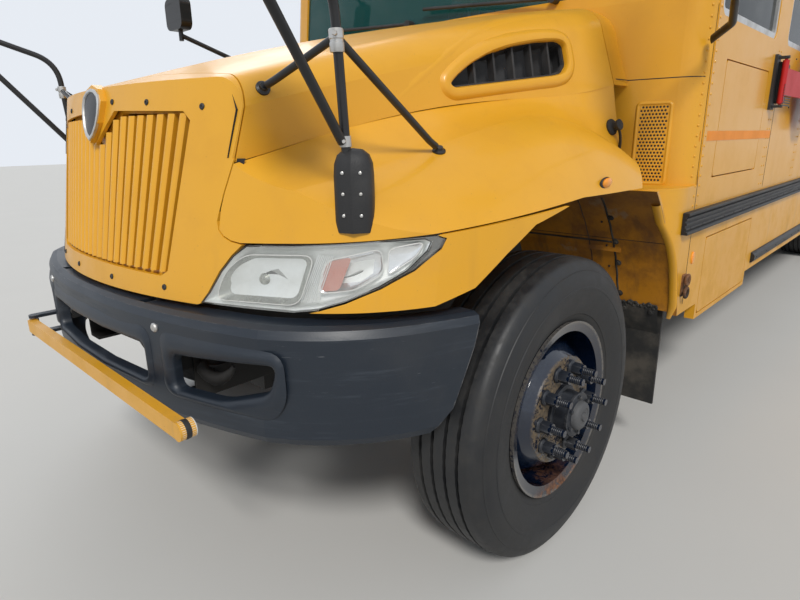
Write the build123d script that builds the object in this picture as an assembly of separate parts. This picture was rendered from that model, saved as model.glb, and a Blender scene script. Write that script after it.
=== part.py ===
from build123d import *
import os
from math import asin, cos, degrees, pi, radians, sin, sqrt

# A long-nosed school bus. It faces +X, its left side is +Y and +Z is up. The
# origin is on the ground under the middle of the bus. All sizes are in
# millimetres, and "ahead" counts from the front axle, positive to the front.

# Driving dimensions of the whole bus
WHEELBASE = 6452.0
FRONT_REACH = 1090.0
REAR_REACH = 3850.0
LENGTH = FRONT_REACH + WHEELBASE + REAR_REACH
FRONT_X = LENGTH / 2
REAR_X = -LENGTH / 2
FRONT_AXLE_X = FRONT_X - FRONT_REACH
REAR_AXLE_X = FRONT_AXLE_X - WHEELBASE
BODY_HALF = 1219.0
SKIRT_Z = 660.0
FLOOR_Z = 1000.0
FLOOR_THICK = 40.0
EAVE_Z = 2470.0
ROOF_TOP_Z = 3080.0
ROOF_CORNER_R = 480.0
WALL = 40.0

# Tyres and wheels, of the 11R22.5 size
TYRE_R = 505.0
TYRE_W = 279.0
RIM_R = 285.75
RIM_FLANGE_R = 298.5
RIM_W = 210.0
STUDS = 10
STUD_CIRCLE_R = 142.9
FRONT_WHEEL_Y = 1020.0
KINGPIN_Y = 905.0
REAR_OUTER_Y = 1075.0
TWIN_SPACING = 318.0
FRONT_FACE = 110.0
STUD_REACH = 89.0
DISC_THICK = 12.0
HAND_HOLE_TURNS = (-70.0, 110.0)

# Front sheet metal
COWL_FRONT = -660.0
COWL_REAR = -830.0
COWL_TOP_Z = 1850.0
CORNER_R = 105.0
CORNER_TAPER = 0.047
FRONT_BOW_R = 7000.0
WINDSHIELD_LEAN = 100.0 / 850.0
PILLAR_TOP = -915.0
HOOD_REAR = -600.0
SHELL = 12.0
SEAM = 4.0

# Side windows: the driver's, then twelve equal bays to the rear
WINDOW_Z = (1790.0, 2410.0)
DRIVER_WINDOW = (-852.0, -1730.0, -985.0)
BAY_START = -1920.0
BAYS = 12
WINDOW_POST = 96.0
WINDOW_CORNER_R = 45.0
SASH_FACE = 26.0
SASH_BAR = 28.0
REAR_WALL_THICK = 50.0
REAR_WALL_X = REAR_X + 70.0
REAR_BUMPER_Z = (430.0, 655.0)

# Hood sections from the nose to the cowl. Columns: ahead, then half width and
# height at the fender seam, at the shoulder and at the top's edge, and the
# height of the crown.
HOOD_STATIONS = (
    (1000, 580, 1285, 600, 1395, 505, 1480, 1500),
    (800, 615, 1325, 632, 1450, 545, 1530, 1557),
    (320, 722, 1441, 715, 1560, 625, 1650, 1686),
    (-60, 820, 1489, 795, 1640, 700, 1735, 1772),
    (-600, 950, 1555, 890, 1740, 790, 1835, 1878),
)

# How far the hollow inside the hood reaches below its seam
FOOT_DEPTH = 200.0
NOSE_LEAN = 0.174

# Fender sections on the left side. Columns: ahead, then half width and height
# at the hood seam, at the fold and at the outer edge, and the bulge of the
# hollow and of the crown.
FENDER_STATIONS = (
    (900, 600, 1303, 700, 1218, 800, 1100, -4, 8),
    (560, 667, 1386, 830, 1296, 1062, 1120, -8, 22),
    (250, 737, 1450, 880, 1372, 1146, 1150, -10, 30),
    (-100, 828, 1493, 938, 1432, 1174, 1160, -10, 44),
    (-380, 896, 1527, 978, 1380, 1180, 1163, -8, 46),
    (-620, 955, 1557, 1030, 1225, 1184, 1165, -6, 12),
)

# What is cut from the fender's rear, (ahead, y)
FENDER_REAR = ((HOOD_REAR, 300), (HOOD_REAR, 1030), (-385, 1180), (-385, 1400), (-900, 1400), (-900, 300))

# Plan of the hood's front at the bumper's height: (ahead, y) points, arcs
# between the even ones.
FRONT_PLAN = ((987, 0), (937, 420), (798, 800), (699, 945), (555, 1056), (300, 1140), (-100, 1176))

# Seam between the nose and the hood behind it, leaning like the grille
NOSE_SEAM = ((850, 1200), (818, 1300), (785, 1450), (765, 1600), (765, 1900))

# Below the seam the nose is bounded by its outline alone, as far back as this
NOSE_DEEP = (780, 1170)

# Left half of the nose's outline seen from the front, (y, z)
NOSE_EDGE = (
    (527, 955), (537, 958), (561, 990), (593, 1048), (627, 1092), (655, 1119), (622, 1125), (598, 1136),
    (583, 1152), (577, 1175), (591, 1241), (617, 1330)
)

# Left half of the grille's opening, with the notch under the badge
GRILLE_EDGE = ((25, 1020), (385, 1016), (413, 1032), (472, 1425), (446, 1449), (125, 1461), (0, 1366))

# Left headlamp seen from the front
LAMP_EDGE = (
    (543, 960), (566, 990), (598, 1048), (632, 1092), (660, 1115), (672, 1120), (786, 1124), (897, 1133),
    (1000, 1142), (1044, 1145), (1056, 1136), (1052, 1114), (1020, 1066), (972, 1026), (911, 991), (850, 968),
    (800, 960)
)

# Seam under the upper fender, and the wheel arch ahead of the axle, (ahead, z)
FENDER_SEAM = ((900, 1119), (0, 1198), (-700, 1198))
ARCH_FRONT = ((110, 1184), (250, 1146), (350, 1080), (450, 1004))
LOWER_EDGE = ((450, 1004), (560, 972), (930, 956))

BADGE_EDGE = ((0, 1540), (50, 1525), (74, 1490), (55, 1430), (0, 1372))

# Opening of the hood's side vent, (ahead, z)
VENT_EDGE = ((128, 1517), (146, 1530), (118, 1556), (60, 1595), (-20, 1632), (-120, 1661), (-230, 1682),
             (-330, 1692), (-368, 1682), (-372, 1610), (-345, 1582), (-300, 1570))

FINS_A_SIDE = 10
FIN_FACE = 9.0
FIN_DEPTH = 52.0

BUMPER_PLAN = ((1030, 0), (1003, 390), (899, 780), (751, 960), (557, 1070), (490, 1098), (420, 1120))
BUMPER_Z = (620.0, 940.0)
BUMPER_THICK = 12.0
BUMPER_LIP = 75.0

# What the slanted ends cut away, (ahead, z)
BUMPER_END = ((436, 960), (462, 850), (520, 690), (575, 630), (590, 500), (200, 500), (200, 960))

# Rounded lips of the bumper's face, as (inset, z)
BUMPER_ROUNDING = ((26, 620), (9, 628), (0, 648), (0, 912), (9, 932), (26, 940))

# Crossing gate: a V-bent bar folded across the bumper, hinged near its right end
GATE_HINGE = (1062.0, -520.0)
GATE_END_Y = 700.0
GATE_Z = (682.0, 728.0)
MAGNET_Z = 712.0

# Hinge that the hood tilts on: (ahead, z), its pin, and the two gooseneck arms
HOOD_HINGE = (960.0, 780.0)
HINGE_PIN_R = 11.4
HINGE_BORE_R = 11.5
GOOSENECK_Y = (318.0, 338.0)
GOOSENECK_PATH = (
    (760, 765), (960, 765), (960, 795), (790, 795), (790, 960), (950, 960), (944, 992), (760, 992)
)

# Chassis: two channel rails, cross members, axles, springs
RAIL_Y = 430.0
RAIL_Z = (640.0, 900.0)
RAIL_SPAN = (900.0, -10150.0)
CROSS_MEMBERS = (690.0, -1500.0, -2500.0, -4100.0, -5600.0, -7300.0, -8700.0, -10000.0)
HUB_Z = TYRE_R

# Tow hooks: a flat ring lying level inside each outer bumper opening
HOOK_AHEAD = 855.0
HOOK_REAR = 620.0
HOOK_Y = 475.0
HOOK_Z = 749.0
HOOK_THICK = 28.0
HOOK_R = 42.0
HOOK_EYE_R = 22.0

# Doors in the body's skin. Compartment doors: ahead limits and z limits.
BATTERY_DOOR = ((-1790.0, -1040.0), (612.0, 945.0))
ELECTRICAL_DOOR = ((-1680.0, -1000.0), (1205.0, 1645.0))
FUEL_DOOR = ((-3240.0, -3000.0), (700.0, 900.0))
DOOR_GAP = 5.0
SKIN_DOOR_THICK = 20.0
ENTRY = (-1730.0, -930.0)
ENTRY_Z = (400.0, 2380.0)
ENTRY_LEAF_THICK = 32.0
REAR_DOOR_HALF = 380.0
REAR_DOOR_Z = (1010.0, 2480.0)
REAR_ARCH_R = 600.0
STEP_Z = (400.0, 620.0, 810.0)

CAP_REAR = -1060.0
HATCHES = (2300.0, -2600.0)
HATCH_HALF = 310.0
HATCH_CURB_Z = 3098.0
HATCH_THICK = 42.0

# Raised panel over the windshield, (ahead, z)
VISOR_EDGE = ((-900, 2700), (-752, 2712), (-762, 2940), (-880, 3035), (-960, 2990))

GLASS_HALF = 1075.0
GLASS_Z = (1895.0, 2640.0)

COLLAR_REAR = -760.0
COLLAR_FRONT = HOOD_REAR - 6.0
SPLASH_INNER_Y = 520.0
FLARE_FRONT = -430.0
FLARE_CORNER_R = 220.0
ARCH_X = 120.0
ARCH_Z = 507.0
ARCH_R = 905.0

# Black rub rails: (lower z, upper z, first ahead, how far they stand out)
RUB_RAILS = ((1000.0, 1085.0, -700.0, 24.0), (692.0, 750.0, -1900.0, 20.0), (1700.0, 1745.0, -2900.0, 16.0))

# Post of the driver's mirrors, (ahead, y)
MIRROR_POST = (-140.0, 1450.0)

WIPER_Z = 1902.0

SEAT_ROWS = 12
SEAT_PITCH = 680.0
SEAT_FIRST = -2440.0
SEAT_Y = (200.0, 1165.0)
SEAT_Z = 1440.0
SEAT_DEPTH = 400.0

STOP_HINGE = (-1790.0, 1262.0)
BLADE_FLAT = 228.6
STOP_Z = 1605.0

nodes = {}


def ahead(distance):
    """Place a distance from the front axle in the bus's own frame."""
    return FRONT_AXLE_X + distance


def keep(name, *pieces):
    """Record the solids of one sub-part under its name."""
    solids = []
    for piece in pieces:
        solids.extend(piece.solids())
    nodes[name] = Compound(children=solids) if len(solids) > 1 else solids[0]


def block(x, y, z):
    """Box between two limits on each axis."""
    size = [abs(limits[1] - limits[0]) for limits in (x, y, z)]
    middle = [(limits[1] + limits[0]) / 2 for limits in (x, y, z)]
    return Pos(*middle) * Box(*size)


def rounded_block(x, y, z, radius, axis=Axis.Z):
    """Box with the edges along one axis rounded."""
    solid = block(x, y, z)
    return fillet(solid.edges().filter_by(axis), radius)


def tube_along_y(radius, x, y, z):
    """Round bar across the bus between two y values."""
    bar = Rotation(90, 0, 0) * Cylinder(radius, abs(y[1] - y[0]))
    return Pos(x, (y[0] + y[1]) / 2, z) * bar


def tube_along_x(radius, x, y, z):
    """Round bar along the bus between two x values."""
    bar = Rotation(0, 90, 0) * Cylinder(radius, abs(x[1] - x[0]))
    return Pos((x[0] + x[1]) / 2, y, z) * bar


def annulus_along_y(radius, hole, y, z):
    """Round bar across the bus with a bore."""
    return tube_along_y(radius, 0, y, z) - tube_along_y(hole, 0, (y[0] - 500, y[1] + 500), z)


def side_plate(outline, y0, y1):
    """Extrude an outline of (x, z) corners across the bus."""
    face = make_face(Polyline(*[(x, y0, z) for x, z in outline], close=True))
    return extrude(face, y1 - y0, dir=(0, 1, 0))


def cross_plate(outline, x0, x1):
    """Extrude an outline of (y, z) corners along the bus."""
    face = make_face(Polyline(*[(x0, y, z) for y, z in outline], close=True))
    return extrude(face, x1 - x0, dir=(1, 0, 0))


def plan_plate(outline, z0, z1):
    """Extrude an outline of (x, y) corners upward."""
    face = make_face(Polyline(*[(x, y, z0) for x, y in outline], close=True))
    return extrude(face, z1 - z0, dir=(0, 0, 1))


def other_side(solid):
    """Mirror a piece to the other side of the bus."""
    return solid.mirror(Plane.XZ)


def bent_tube(points, bends, radius):
    """Round tube along straight runs joined by arcs."""
    path = FilletPolyline(*points, radius=bends) if bends else Polyline(*points)
    start = path @ 0
    section = Plane(origin=start, z_dir=path % 0) * Circle(radius)
    return sweep(section, path=path)


def body_outline(x, inset, bottom):
    """Face across the bus: straight sides under a bowed roof."""
    half = BODY_HALF - inset
    corner = ROOF_CORNER_R - inset
    centre_y = BODY_HALF - ROOF_CORNER_R
    rise = ROOF_TOP_Z - EAVE_Z
    crown = (centre_y**2 + rise**2 - ROOF_CORNER_R**2) / (2 * (rise - ROOF_CORNER_R))
    turn = asin(centre_y / (crown - ROOF_CORNER_R))
    middle = (pi / 2 - turn) / 2

    def on_corner(side, angle):
        return (x, side * (centre_y + corner * cos(angle)), EAVE_Z + corner * sin(angle))

    left = ThreePointArc(on_corner(1, 0), on_corner(1, middle), on_corner(1, 2 * middle))
    top = ThreePointArc(on_corner(1, 2 * middle), (x, 0, ROOF_TOP_Z - inset), on_corner(-1, 2 * middle))
    right = ThreePointArc(on_corner(-1, 2 * middle), on_corner(-1, middle), on_corner(-1, 0))
    corners = [on_corner(-1, 0), (x, -half, bottom), (x, half, bottom), on_corner(1, 0)]
    if bottom == EAVE_Z:
        corners = [corners[0], corners[-1]]
    sides = Polyline(*corners)
    return make_face(left.edges() + top.edges() + right.edges() + sides.edges())


def body_solid(x0, x1, inset, bottom):
    """Solid of the body's section between two stations."""
    return extrude(body_outline(x0, inset, bottom), x1 - x0, dir=(1, 0, 0))


def front_plan(z, front, rear, inset=0.0, corner=CORNER_R, bow=FRONT_BOW_R):
    """Plan of the body's nose end: a bowed face with rounded corners."""
    half = BODY_HALF - inset
    tip = ahead(front) - inset
    side_x = tip - (bow - sqrt(bow**2 - half**2))
    back_x = ahead(rear)
    face_arc = ThreePointArc((side_x, -half, z), (tip, 0, z), (side_x, half, z))
    rest = Polyline((side_x, half, z), (back_x, half, z), (back_x, -half, z), (side_x, -half, z))
    face = make_face(face_arc.edges() + rest.edges())
    return fillet(face.vertices().sort_by(Axis.X)[-2:], max(corner - inset, 5.0))


def front_column(z0, z1, front, rear, inset=0.0, corner=CORNER_R):
    """Upright solid of that plan between two heights."""
    low = front_plan(z0, front, rear, inset, corner)
    return extrude(low, z1 - z0, dir=(0, 0, 1))


def leaning_column(z0, z1, inset=0.0):
    """Solid of the body's front above the cowl, leaning back, its corners tightening."""
    plans = []
    for z in (z0, z1):
        rise = z - COWL_TOP_Z
        front = COWL_FRONT - WINDSHIELD_LEAN * rise
        plans.append(front_plan(z, front, -1800, inset, CORNER_R - CORNER_TAPER * rise))
    return loft(plans, ruled=True)


def sag_arc(x, start, end, sag):
    """Arc across the bus from one (y, z) to another, bulged by sag."""
    run_y, run_z = end[0] - start[0], end[1] - start[1]
    chord = sqrt(run_y**2 + run_z**2)
    middle_y = (start[0] + end[0]) / 2 + sag * run_z / chord
    middle_z = (start[1] + end[1]) / 2 - sag * run_y / chord
    return ThreePointArc((x, *start), (x, middle_y, middle_z), (x, *end))


def hood_section(station, inset=0.0):
    """Face of the hood's outline at one station; an inner one reaches below the seam."""
    distance, seam_y, seam_z, shoulder_y, shoulder_z, top_y, top_z, crown_z = station
    x = ahead(distance)
    seam = (seam_y - inset, seam_z)
    shoulder = (shoulder_y - inset, shoulder_z)
    top = (top_y, top_z - inset)
    sag = 22.0
    left = sag_arc(x, shoulder, top, sag)
    crown = ThreePointArc((x, *top), (x, 0, crown_z - inset), (x, -top[0], top[1]))
    right = sag_arc(x, (-top[0], top[1]), (-shoulder[0], shoulder[1]), sag)
    low = seam_z - (FOOT_DEPTH + inset if inset > 0 else 0)
    foot = Polyline(
        (x, -shoulder[0], shoulder[1]), (x, -seam[0], seam[1]), (x, -seam[0], low - 1),
        (x, seam[0], low - 1), (x, *seam), (x, *shoulder)
    )
    return make_face(left.edges() + crown.edges() + right.edges() + foot.edges())


def hood_form(inset=0.0, first=0, last=None):
    """Solid of the hood's outer form through its stations."""
    stations = HOOD_STATIONS[first:last]
    return loft([hood_section(station, inset) for station in stations])


def fender_section(station, inset=0.0):
    """Face of the left fender at one station, closed through the hood side."""
    distance, seam_y, seam_z, fold_y, fold_z, edge_y, edge_z, hollow, crown = station
    x = ahead(distance)
    seam = (seam_y, seam_z - inset)
    fold = (fold_y - inset / 2, fold_z - inset)
    edge = (edge_y - inset, edge_z)
    outer = sag_arc(x, edge, fold, crown)
    inner = sag_arc(x, fold, seam, hollow)
    rest = Polyline((x, *seam), (x, 500, seam[1]), (x, 500, 900), (x, edge[0], 900), (x, *edge))
    return make_face(outer.edges() + inner.edges() + rest.edges())


def fender_form(inset=0.0):
    """Solid of the left fender's outer form through its stations."""
    return loft([fender_section(station, inset) for station in FENDER_STATIONS])


def envelope_plan(z, inset):
    """Face of the hood's front plan, both sides, shifted by its lean."""
    shift = ahead(0) - NOSE_LEAN * (z - 1000)
    points = [(shift + x - inset * (1 if x > 600 else 0.3), max(y - inset, 0) if y > 900 else y, z)
              for x, y in FRONT_PLAN]
    left = [ThreePointArc(points[i], points[i + 1], points[i + 2]) for i in (0, 2, 4)]
    mirrored = [(x, -y, z) for x, y, z in points]
    right = [ThreePointArc(mirrored[i], mirrored[i + 1], mirrored[i + 2]) for i in (0, 2, 4)]
    end_x = points[-1][0]
    half = points[-1][1]
    back = Polyline(points[-1], (end_x - 700, half, z), (end_x - 700, -half, z), mirrored[-1])
    edges = [curve.edge() for curve in left + right] + back.edges()
    return make_face(edges)


def envelope(z0, z1, inset=0.0):
    """Solid of the hood's leaning front."""
    return loft([envelope_plan(z0, inset), envelope_plan(z1, inset)], ruled=True)


def mirrored_outline(half):
    """Close a half outline across the middle."""
    return list(half) + [(-y, z) for y, z in reversed(half) if y > 0]


def shifted(outline):
    """Turn (ahead, z) points into (x, z) points."""
    return [(ahead(x), z) for x, z in outline]


def grown(outline, amount):
    """Move a closed outline's edges outward by an amount."""
    count = len(outline)
    area = sum(outline[i - 1][0] * outline[i][1] - outline[i][0] * outline[i - 1][1] for i in range(count))
    turn = 1 if area > 0 else -1
    corners = []
    for i in range(count):
        before, here, after = outline[i - 1], outline[i], outline[(i + 1) % count]
        normals = []
        for start, end in ((before, here), (here, after)):
            run, rise = end[0] - start[0], end[1] - start[1]
            length = sqrt(run**2 + rise**2)
            normals.append((turn * rise / length, -turn * run / length))
        share = 1 + normals[0][0] * normals[1][0] + normals[0][1] * normals[1][1]
        corners.append(tuple(here[k] + amount * (normals[0][k] + normals[1][k]) / share for k in (0, 1)))
    return corners


def spread(outline, amount, x0, x1):
    """Prism along the bus of a (y, z) outline grown by an amount."""
    return cross_plate(grown(outline, amount), x0, x1)


def nose_form(inset=0.0):
    """Solid of the nose, front skin to seam, with its top rounded as the hood."""
    front = envelope(930, 1620, inset)
    upper = front & hood_form(inset)
    edge = mirrored_outline(NOSE_EDGE)
    lower = front & spread(edge, 0, ahead(500), ahead(1100))
    behind = side_plate(
        shifted([(NOSE_DEEP[0], 900), NOSE_DEEP, *[(x + SEAM, z) for x, z in NOSE_SEAM],
                 (1200, 1900), (1200, 900)]), -700, 700)
    return (upper + lower) & behind


def hood_panels():
    """Skin of the tilting hood: top, nose and the two fenders."""
    skin = hood_form() - hood_form(SHELL)
    top_zone = side_plate(
        shifted([(HOOD_REAR - 50, 1200), *NOSE_SEAM, (HOOD_REAR - 50, 1900)]), -1200, 1200)
    top = skin & top_zone
    vent = hood_vent_hole(0)
    top = top - vent - other_side(vent)
    keep("hood_top", top)

    nose = nose_form() - nose_form(SHELL)
    boss = spread(mirrored_outline(BADGE_EDGE), 0, ahead(700), ahead(1100))
    nose = nose + (boss & (envelope(1300, 1600, -16) - envelope(1300, 1600, SHELL)))
    nose = nose - spread(mirrored_outline(GRILLE_EDGE), 0, ahead(700), ahead(1100))
    keep("nose", nose + goosenecks())

    form = (fender_form() & envelope(900, 1700)) - (fender_form(SHELL) & envelope(890, 1710, SHELL))
    below = shifted([*FENDER_SEAM, (-700, 800), (900, 800)])
    rear_cut = plan_plate(shifted(FENDER_REAR), 800, 1700)
    nose_room = spread(mirrored_outline(NOSE_EDGE), SEAM, ahead(500), ahead(1100))
    hood_room = hood_form(-SEAM) + nose_room
    inner_line = [(row[0], row[1] - 22) for row in FENDER_STATIONS]
    inboard = plan_plate(shifted([*inner_line, (-640, 300), (920, 300)]), 800, 1700)
    form = form - inboard
    upper = form - side_plate(below, 300, 1400) - rear_cut - hood_room
    upper = upper.solids().sort_by(SortBy.VOLUME)[-1]

    front_skin = envelope(930, 1250) - envelope(920, 1260, SHELL)
    lower = front_skin & side_plate(shifted([*ARCH_FRONT, *LOWER_EDGE[1:], (930, 1112)]), 200, 1400)
    lower = lower - nose_room - spread(LAMP_EDGE, SEAM, ahead(300), ahead(1100))
    lower = lower.solids().sort_by(SortBy.VOLUME)[-1]
    keep("fender_left", upper, lower)
    keep("fender_right", other_side(upper), other_side(lower))


def goosenecks():
    """Two arms from the nose's lower edge round the bumper's lip to the hinge pins."""
    hinge_x, hinge_z = ahead(HOOD_HINGE[0]), HOOD_HINGE[1]
    path = shifted(GOOSENECK_PATH)
    arms = []
    for side in (1, -1):
        y = sorted(side * limit for limit in GOOSENECK_Y)
        arm = side_plate(path, *y) + tube_along_y(24, hinge_x, y, hinge_z)
        arms.append(arm - tube_along_y(HINGE_BORE_R, hinge_x, (y[0] - 5, y[1] + 5), hinge_z))
    return arms


def hood_vent_hole(grow):
    """Prism of the left vent's opening through the hood's side."""
    return side_plate(shifted(grown(VENT_EDGE, grow)), 600, 1100)


def hood_vents():
    """Black louvred inserts behind the vents' openings."""
    band = hood_form(SHELL) - hood_form(SHELL + 10)
    plate = band & hood_vent_hole(22)
    plate = plate - hood_vent_hole(-8)
    slats = (hood_form(SHELL) - hood_form(SHELL + 24)) & hood_vent_hole(-4)
    vanes = []
    for index in range(5):
        x = ahead(30 - index * 82)
        vanes.append(slats & block((x - 4, x + 4), (640, 1000), (1490, 1720)))
    plate = plate + vanes
    left = plate.solids().sort_by(SortBy.VOLUME)[-1]
    keep("hood_vents", left, other_side(left))


def grille():
    """Two fans of upright fins on a frame behind the nose's skin."""
    edge = mirrored_outline(GRILLE_EDGE)
    ring = envelope(980, 1500, 26) - envelope(970, 1510, 44)
    frame = (ring & spread(edge, 16, ahead(700), ahead(1100))) - spread(edge, -7, ahead(700), ahead(1100))
    fins = []
    for side in (1, -1):
        for index in range(FINS_A_SIDE):
            share = (index + 0.5) / FINS_A_SIDE
            foot_y, head_y = side * share * 396, side * share * 455
            head_z = min(1444, 1362 + (abs(head_y) - 16) * 0.76)
            fins.append(grille_fin(foot_y, head_y, 1026, head_z))
    keep("grille", frame + fins)


def plan_front(y):
    """Distance ahead of the hood's front at the grille's foot."""
    return 987 - 0.00028 * y**2


def grille_fin(foot_y, head_y, foot_z, head_z):
    """One fin: a bowed face, flat flanks, leaning with the grille."""
    faces = []
    for y, z, half in ((foot_y, foot_z, 14), (head_y, head_z, 16)):
        x = ahead(plan_front(y) - NOSE_LEAN * (z - 1000)) - 4
        rim = x - FIN_FACE
        arc = ThreePointArc((rim, y - half, z), (x, y, z), (rim, y + half, z))
        flank = Polyline((rim, y + half, z), (x - FIN_DEPTH, y + half / 3, z),
                         (x - FIN_DEPTH, y - half / 3, z), (rim, y - half, z))
        faces.append(make_face(arc.edges() + flank.edges()))
    return loft(faces, ruled=True)


def headlamps():
    """Swept headlamps: a deep shell filling the opening in the front skin."""
    body = envelope(930, 1250, 1) - envelope(920, 1260, 60)
    left = body & spread(LAMP_EDGE, -1, ahead(400), ahead(1100))
    left = left.solids().sort_by(SortBy.VOLUME)[-1]
    keep("headlamps", left, other_side(left))


def bumper_face(inset, z):
    """Plan of the bumper moved in by an inset."""
    points = [(ahead(x) - inset, max(y - inset * (0 if y < 300 else 0.7), 0), z) for x, y in BUMPER_PLAN]
    mirrored = [(x, -y, z) for x, y, z in points]
    arcs = [ThreePointArc(*row[i:i + 3]).edge() for row in (points, mirrored) for i in (0, 2, 4)]
    back = Line(points[-1], mirrored[-1]).edge()
    return make_face(arcs + [back])


def front_bumper():
    """Wrap-round channel bumper with three openings and slanted ends."""
    outer = loft([bumper_face(inset, z) for inset, z in BUMPER_ROUNDING], ruled=True)
    inner_z = (BUMPER_Z[0] + BUMPER_THICK, BUMPER_Z[1] - BUMPER_THICK)
    inner = extrude(bumper_face(BUMPER_THICK, inner_z[0]), inner_z[1] - inner_z[0], dir=(0, 0, 1))
    core = extrude(bumper_face(BUMPER_LIP, BUMPER_Z[0] - 1), BUMPER_Z[1] - BUMPER_Z[0] + 2, dir=(0, 0, 1))
    shell = outer - inner - core
    ends = side_plate(shifted(BUMPER_END), -1300, 1300)
    shell = shell - ends
    for y0, y1 in ((-385, 385), (455, 830), (-830, -455)):
        shell = shell - rounded_block((ahead(700), ahead(1100)), (y0, y1), (715, 868), 45, Axis.X)
    for side in (1, -1):
        y = sorted((side * (GOOSENECK_Y[0] - 10), side * (GOOSENECK_Y[1] + 10)))
        shell = shell - block((ahead(800), ahead(980)), y, (900, 1000))
    shell = shell.solids().sort_by(SortBy.VOLUME)[-1]
    hinge_x, hinge_y = ahead(GATE_HINGE[0]), GATE_HINGE[1]
    lugs = []
    for z in ((GATE_Z[0] - 17, GATE_Z[0] - 5), (GATE_Z[1] + 5, GATE_Z[1] + 17)):
        plate = block((ahead(955), hinge_x), (hinge_y - 16, hinge_y + 16), z)
        lugs.append(plate + Pos(hinge_x, hinge_y, sum(z) / 2) * Cylinder(16, z[1] - z[0]))
    bracket = block((ahead(950), ahead(962)), (hinge_y - 40, hinge_y + 40), (GATE_Z[0] - 25, GATE_Z[1] + 25))
    keep("front_bumper", shell + lugs + [bracket])


def crossing_gate():
    """Gate bar with its hinge barrel and the return to the hinge."""
    hinge_x, hinge_y = ahead(GATE_HINGE[0]), GATE_HINGE[1]
    bar = block((hinge_x - 6, hinge_x + 22), (hinge_y, GATE_END_Y), GATE_Z)
    groove_z = (GATE_Z[0] + 10, GATE_Z[1] - 10)
    groove = block((hinge_x - 7, hinge_x + 12), (hinge_y + 30, GATE_END_Y + 1), groove_z)
    barrel = Pos(hinge_x, hinge_y, sum(GATE_Z) / 2) * Cylinder(16, GATE_Z[1] - GATE_Z[0])
    magnet = tube_along_x(24, (hinge_x - 12, ahead(FRONT_REACH)), GATE_END_Y + 4, MAGNET_Z)
    pin = Pos(hinge_x, hinge_y, sum(GATE_Z) / 2) * Cylinder(8, GATE_Z[1] - GATE_Z[0] + 8)
    keep("crossing_gate", bar - groove + barrel + magnet + pin)


def tow_hook(side):
    """Flat forging on the rail's flank, ending in an eye for a shackle pin."""
    hook_x, hook_y = ahead(HOOK_AHEAD), side * HOOK_Y
    hook_z = (HOOK_Z - HOOK_THICK / 2, HOOK_Z + HOOK_THICK / 2)
    stem = block((ahead(HOOK_REAR), hook_x), sorted((side * (RAIL_Y - 2), side * (HOOK_Y + 14))), hook_z)
    ring = Pos(hook_x, hook_y, HOOK_Z) * Cylinder(HOOK_R, HOOK_THICK)
    eye = Pos(hook_x, hook_y, HOOK_Z) * Cylinder(HOOK_EYE_R, HOOK_THICK + 2)
    return stem + ring - eye


def chassis_frame():
    """Ladder frame with tow hooks at the front."""
    pieces = []
    front, rear = ahead(RAIL_SPAN[0]), ahead(RAIL_SPAN[1])
    for side in (1, -1):
        y_out, y_in = side * RAIL_Y, side * (RAIL_Y - 80)
        rail = block((rear, front), sorted((y_in, y_out)), RAIL_Z)
        hollow_y = sorted((y_in - side, y_out - side * 9))
        rail = rail - block((rear - 1, front + 1), hollow_y, (RAIL_Z[0] + 9, RAIL_Z[1] - 9))
        pieces.append(rail)
        pieces.append(tow_hook(side))
    for distance in CROSS_MEMBERS:
        x = ahead(distance)
        pieces.append(block((x - 40, x + 40), (-RAIL_Y + 9, RAIL_Y - 9), (RAIL_Z[0] + 40, RAIL_Z[1] - 40)))
    front_bar = block((ahead(560), ahead(600)), (-RAIL_Y + 9, RAIL_Y - 9), (680, 840))
    body = pieces[0] + pieces[1:] + front_bar
    hinge_x, hinge_z = ahead(HOOD_HINGE[0]), HOOD_HINGE[1]
    for side in (1, -1):
        post = block((ahead(850), hinge_x + 20), sorted((side * 372, side * (RAIL_Y - 6))), (740, 820))
        pin = tube_along_y(HINGE_PIN_R, hinge_x, (side * (GOOSENECK_Y[0] - 8), side * 380), hinge_z)
        body = body + post + pin
        for x in (REAR_AXLE_X - 690, REAR_AXLE_X + 690):
            body = body + block((x - 30, x + 30), sorted((side * 425, side * 545)), (760, 800))
    keep("chassis_frame", body)


def leaf_pack(x, y, half, width, ground, bow):
    """Stack of leaves bowed down towards the axle."""
    upper = ThreePointArc((x - half, y, ground + bow), (x, y, ground), (x + half, y, ground + bow))
    lower = ThreePointArc((x + half * 0.55, y, ground + bow * 0.3 - 60), (x, y, ground - 60),
                          (x - half * 0.55, y, ground + bow * 0.3 - 60))
    ends = [Line(upper @ 1, lower @ 0), Line(lower @ 1, upper @ 0)]
    face = make_face(upper.edges() + ends[0].edges() + lower.edges() + ends[1].edges())
    return extrude(face, width, dir=(0, 1, 0))


def front_axle():
    """Dropped I-beam with kingpin bosses, and its leaf springs."""
    outline = ((-880, 545), (-800, 545), (-660, 470), (660, 470), (800, 545), (880, 545),
               (880, 465), (800, 465), (660, 380), (-660, 380), (-800, 465), (-880, 465))
    beam = cross_plate(outline, ahead(-55), ahead(55))
    for side in (1, -1):
        beam = beam + Pos(ahead(0), side * KINGPIN_Y, HUB_Z) * Cylinder(48, 150)
        spring = leaf_pack(ahead(0), side * 385 - 45, 640, 90, 500, 110)
        pad = block((ahead(-90), ahead(90)), sorted((side * 330, side * 440)), (465, 480))
        beam = beam + spring + pad
        for x in (640, -640):
            hanger_x = (ahead(x) - 30, ahead(x) + 30)
            hanger = block(hanger_x, sorted((side * 345, side * 425)), (590, 640))
            beam = beam + hanger
    keep("front_axle", beam)


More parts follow.
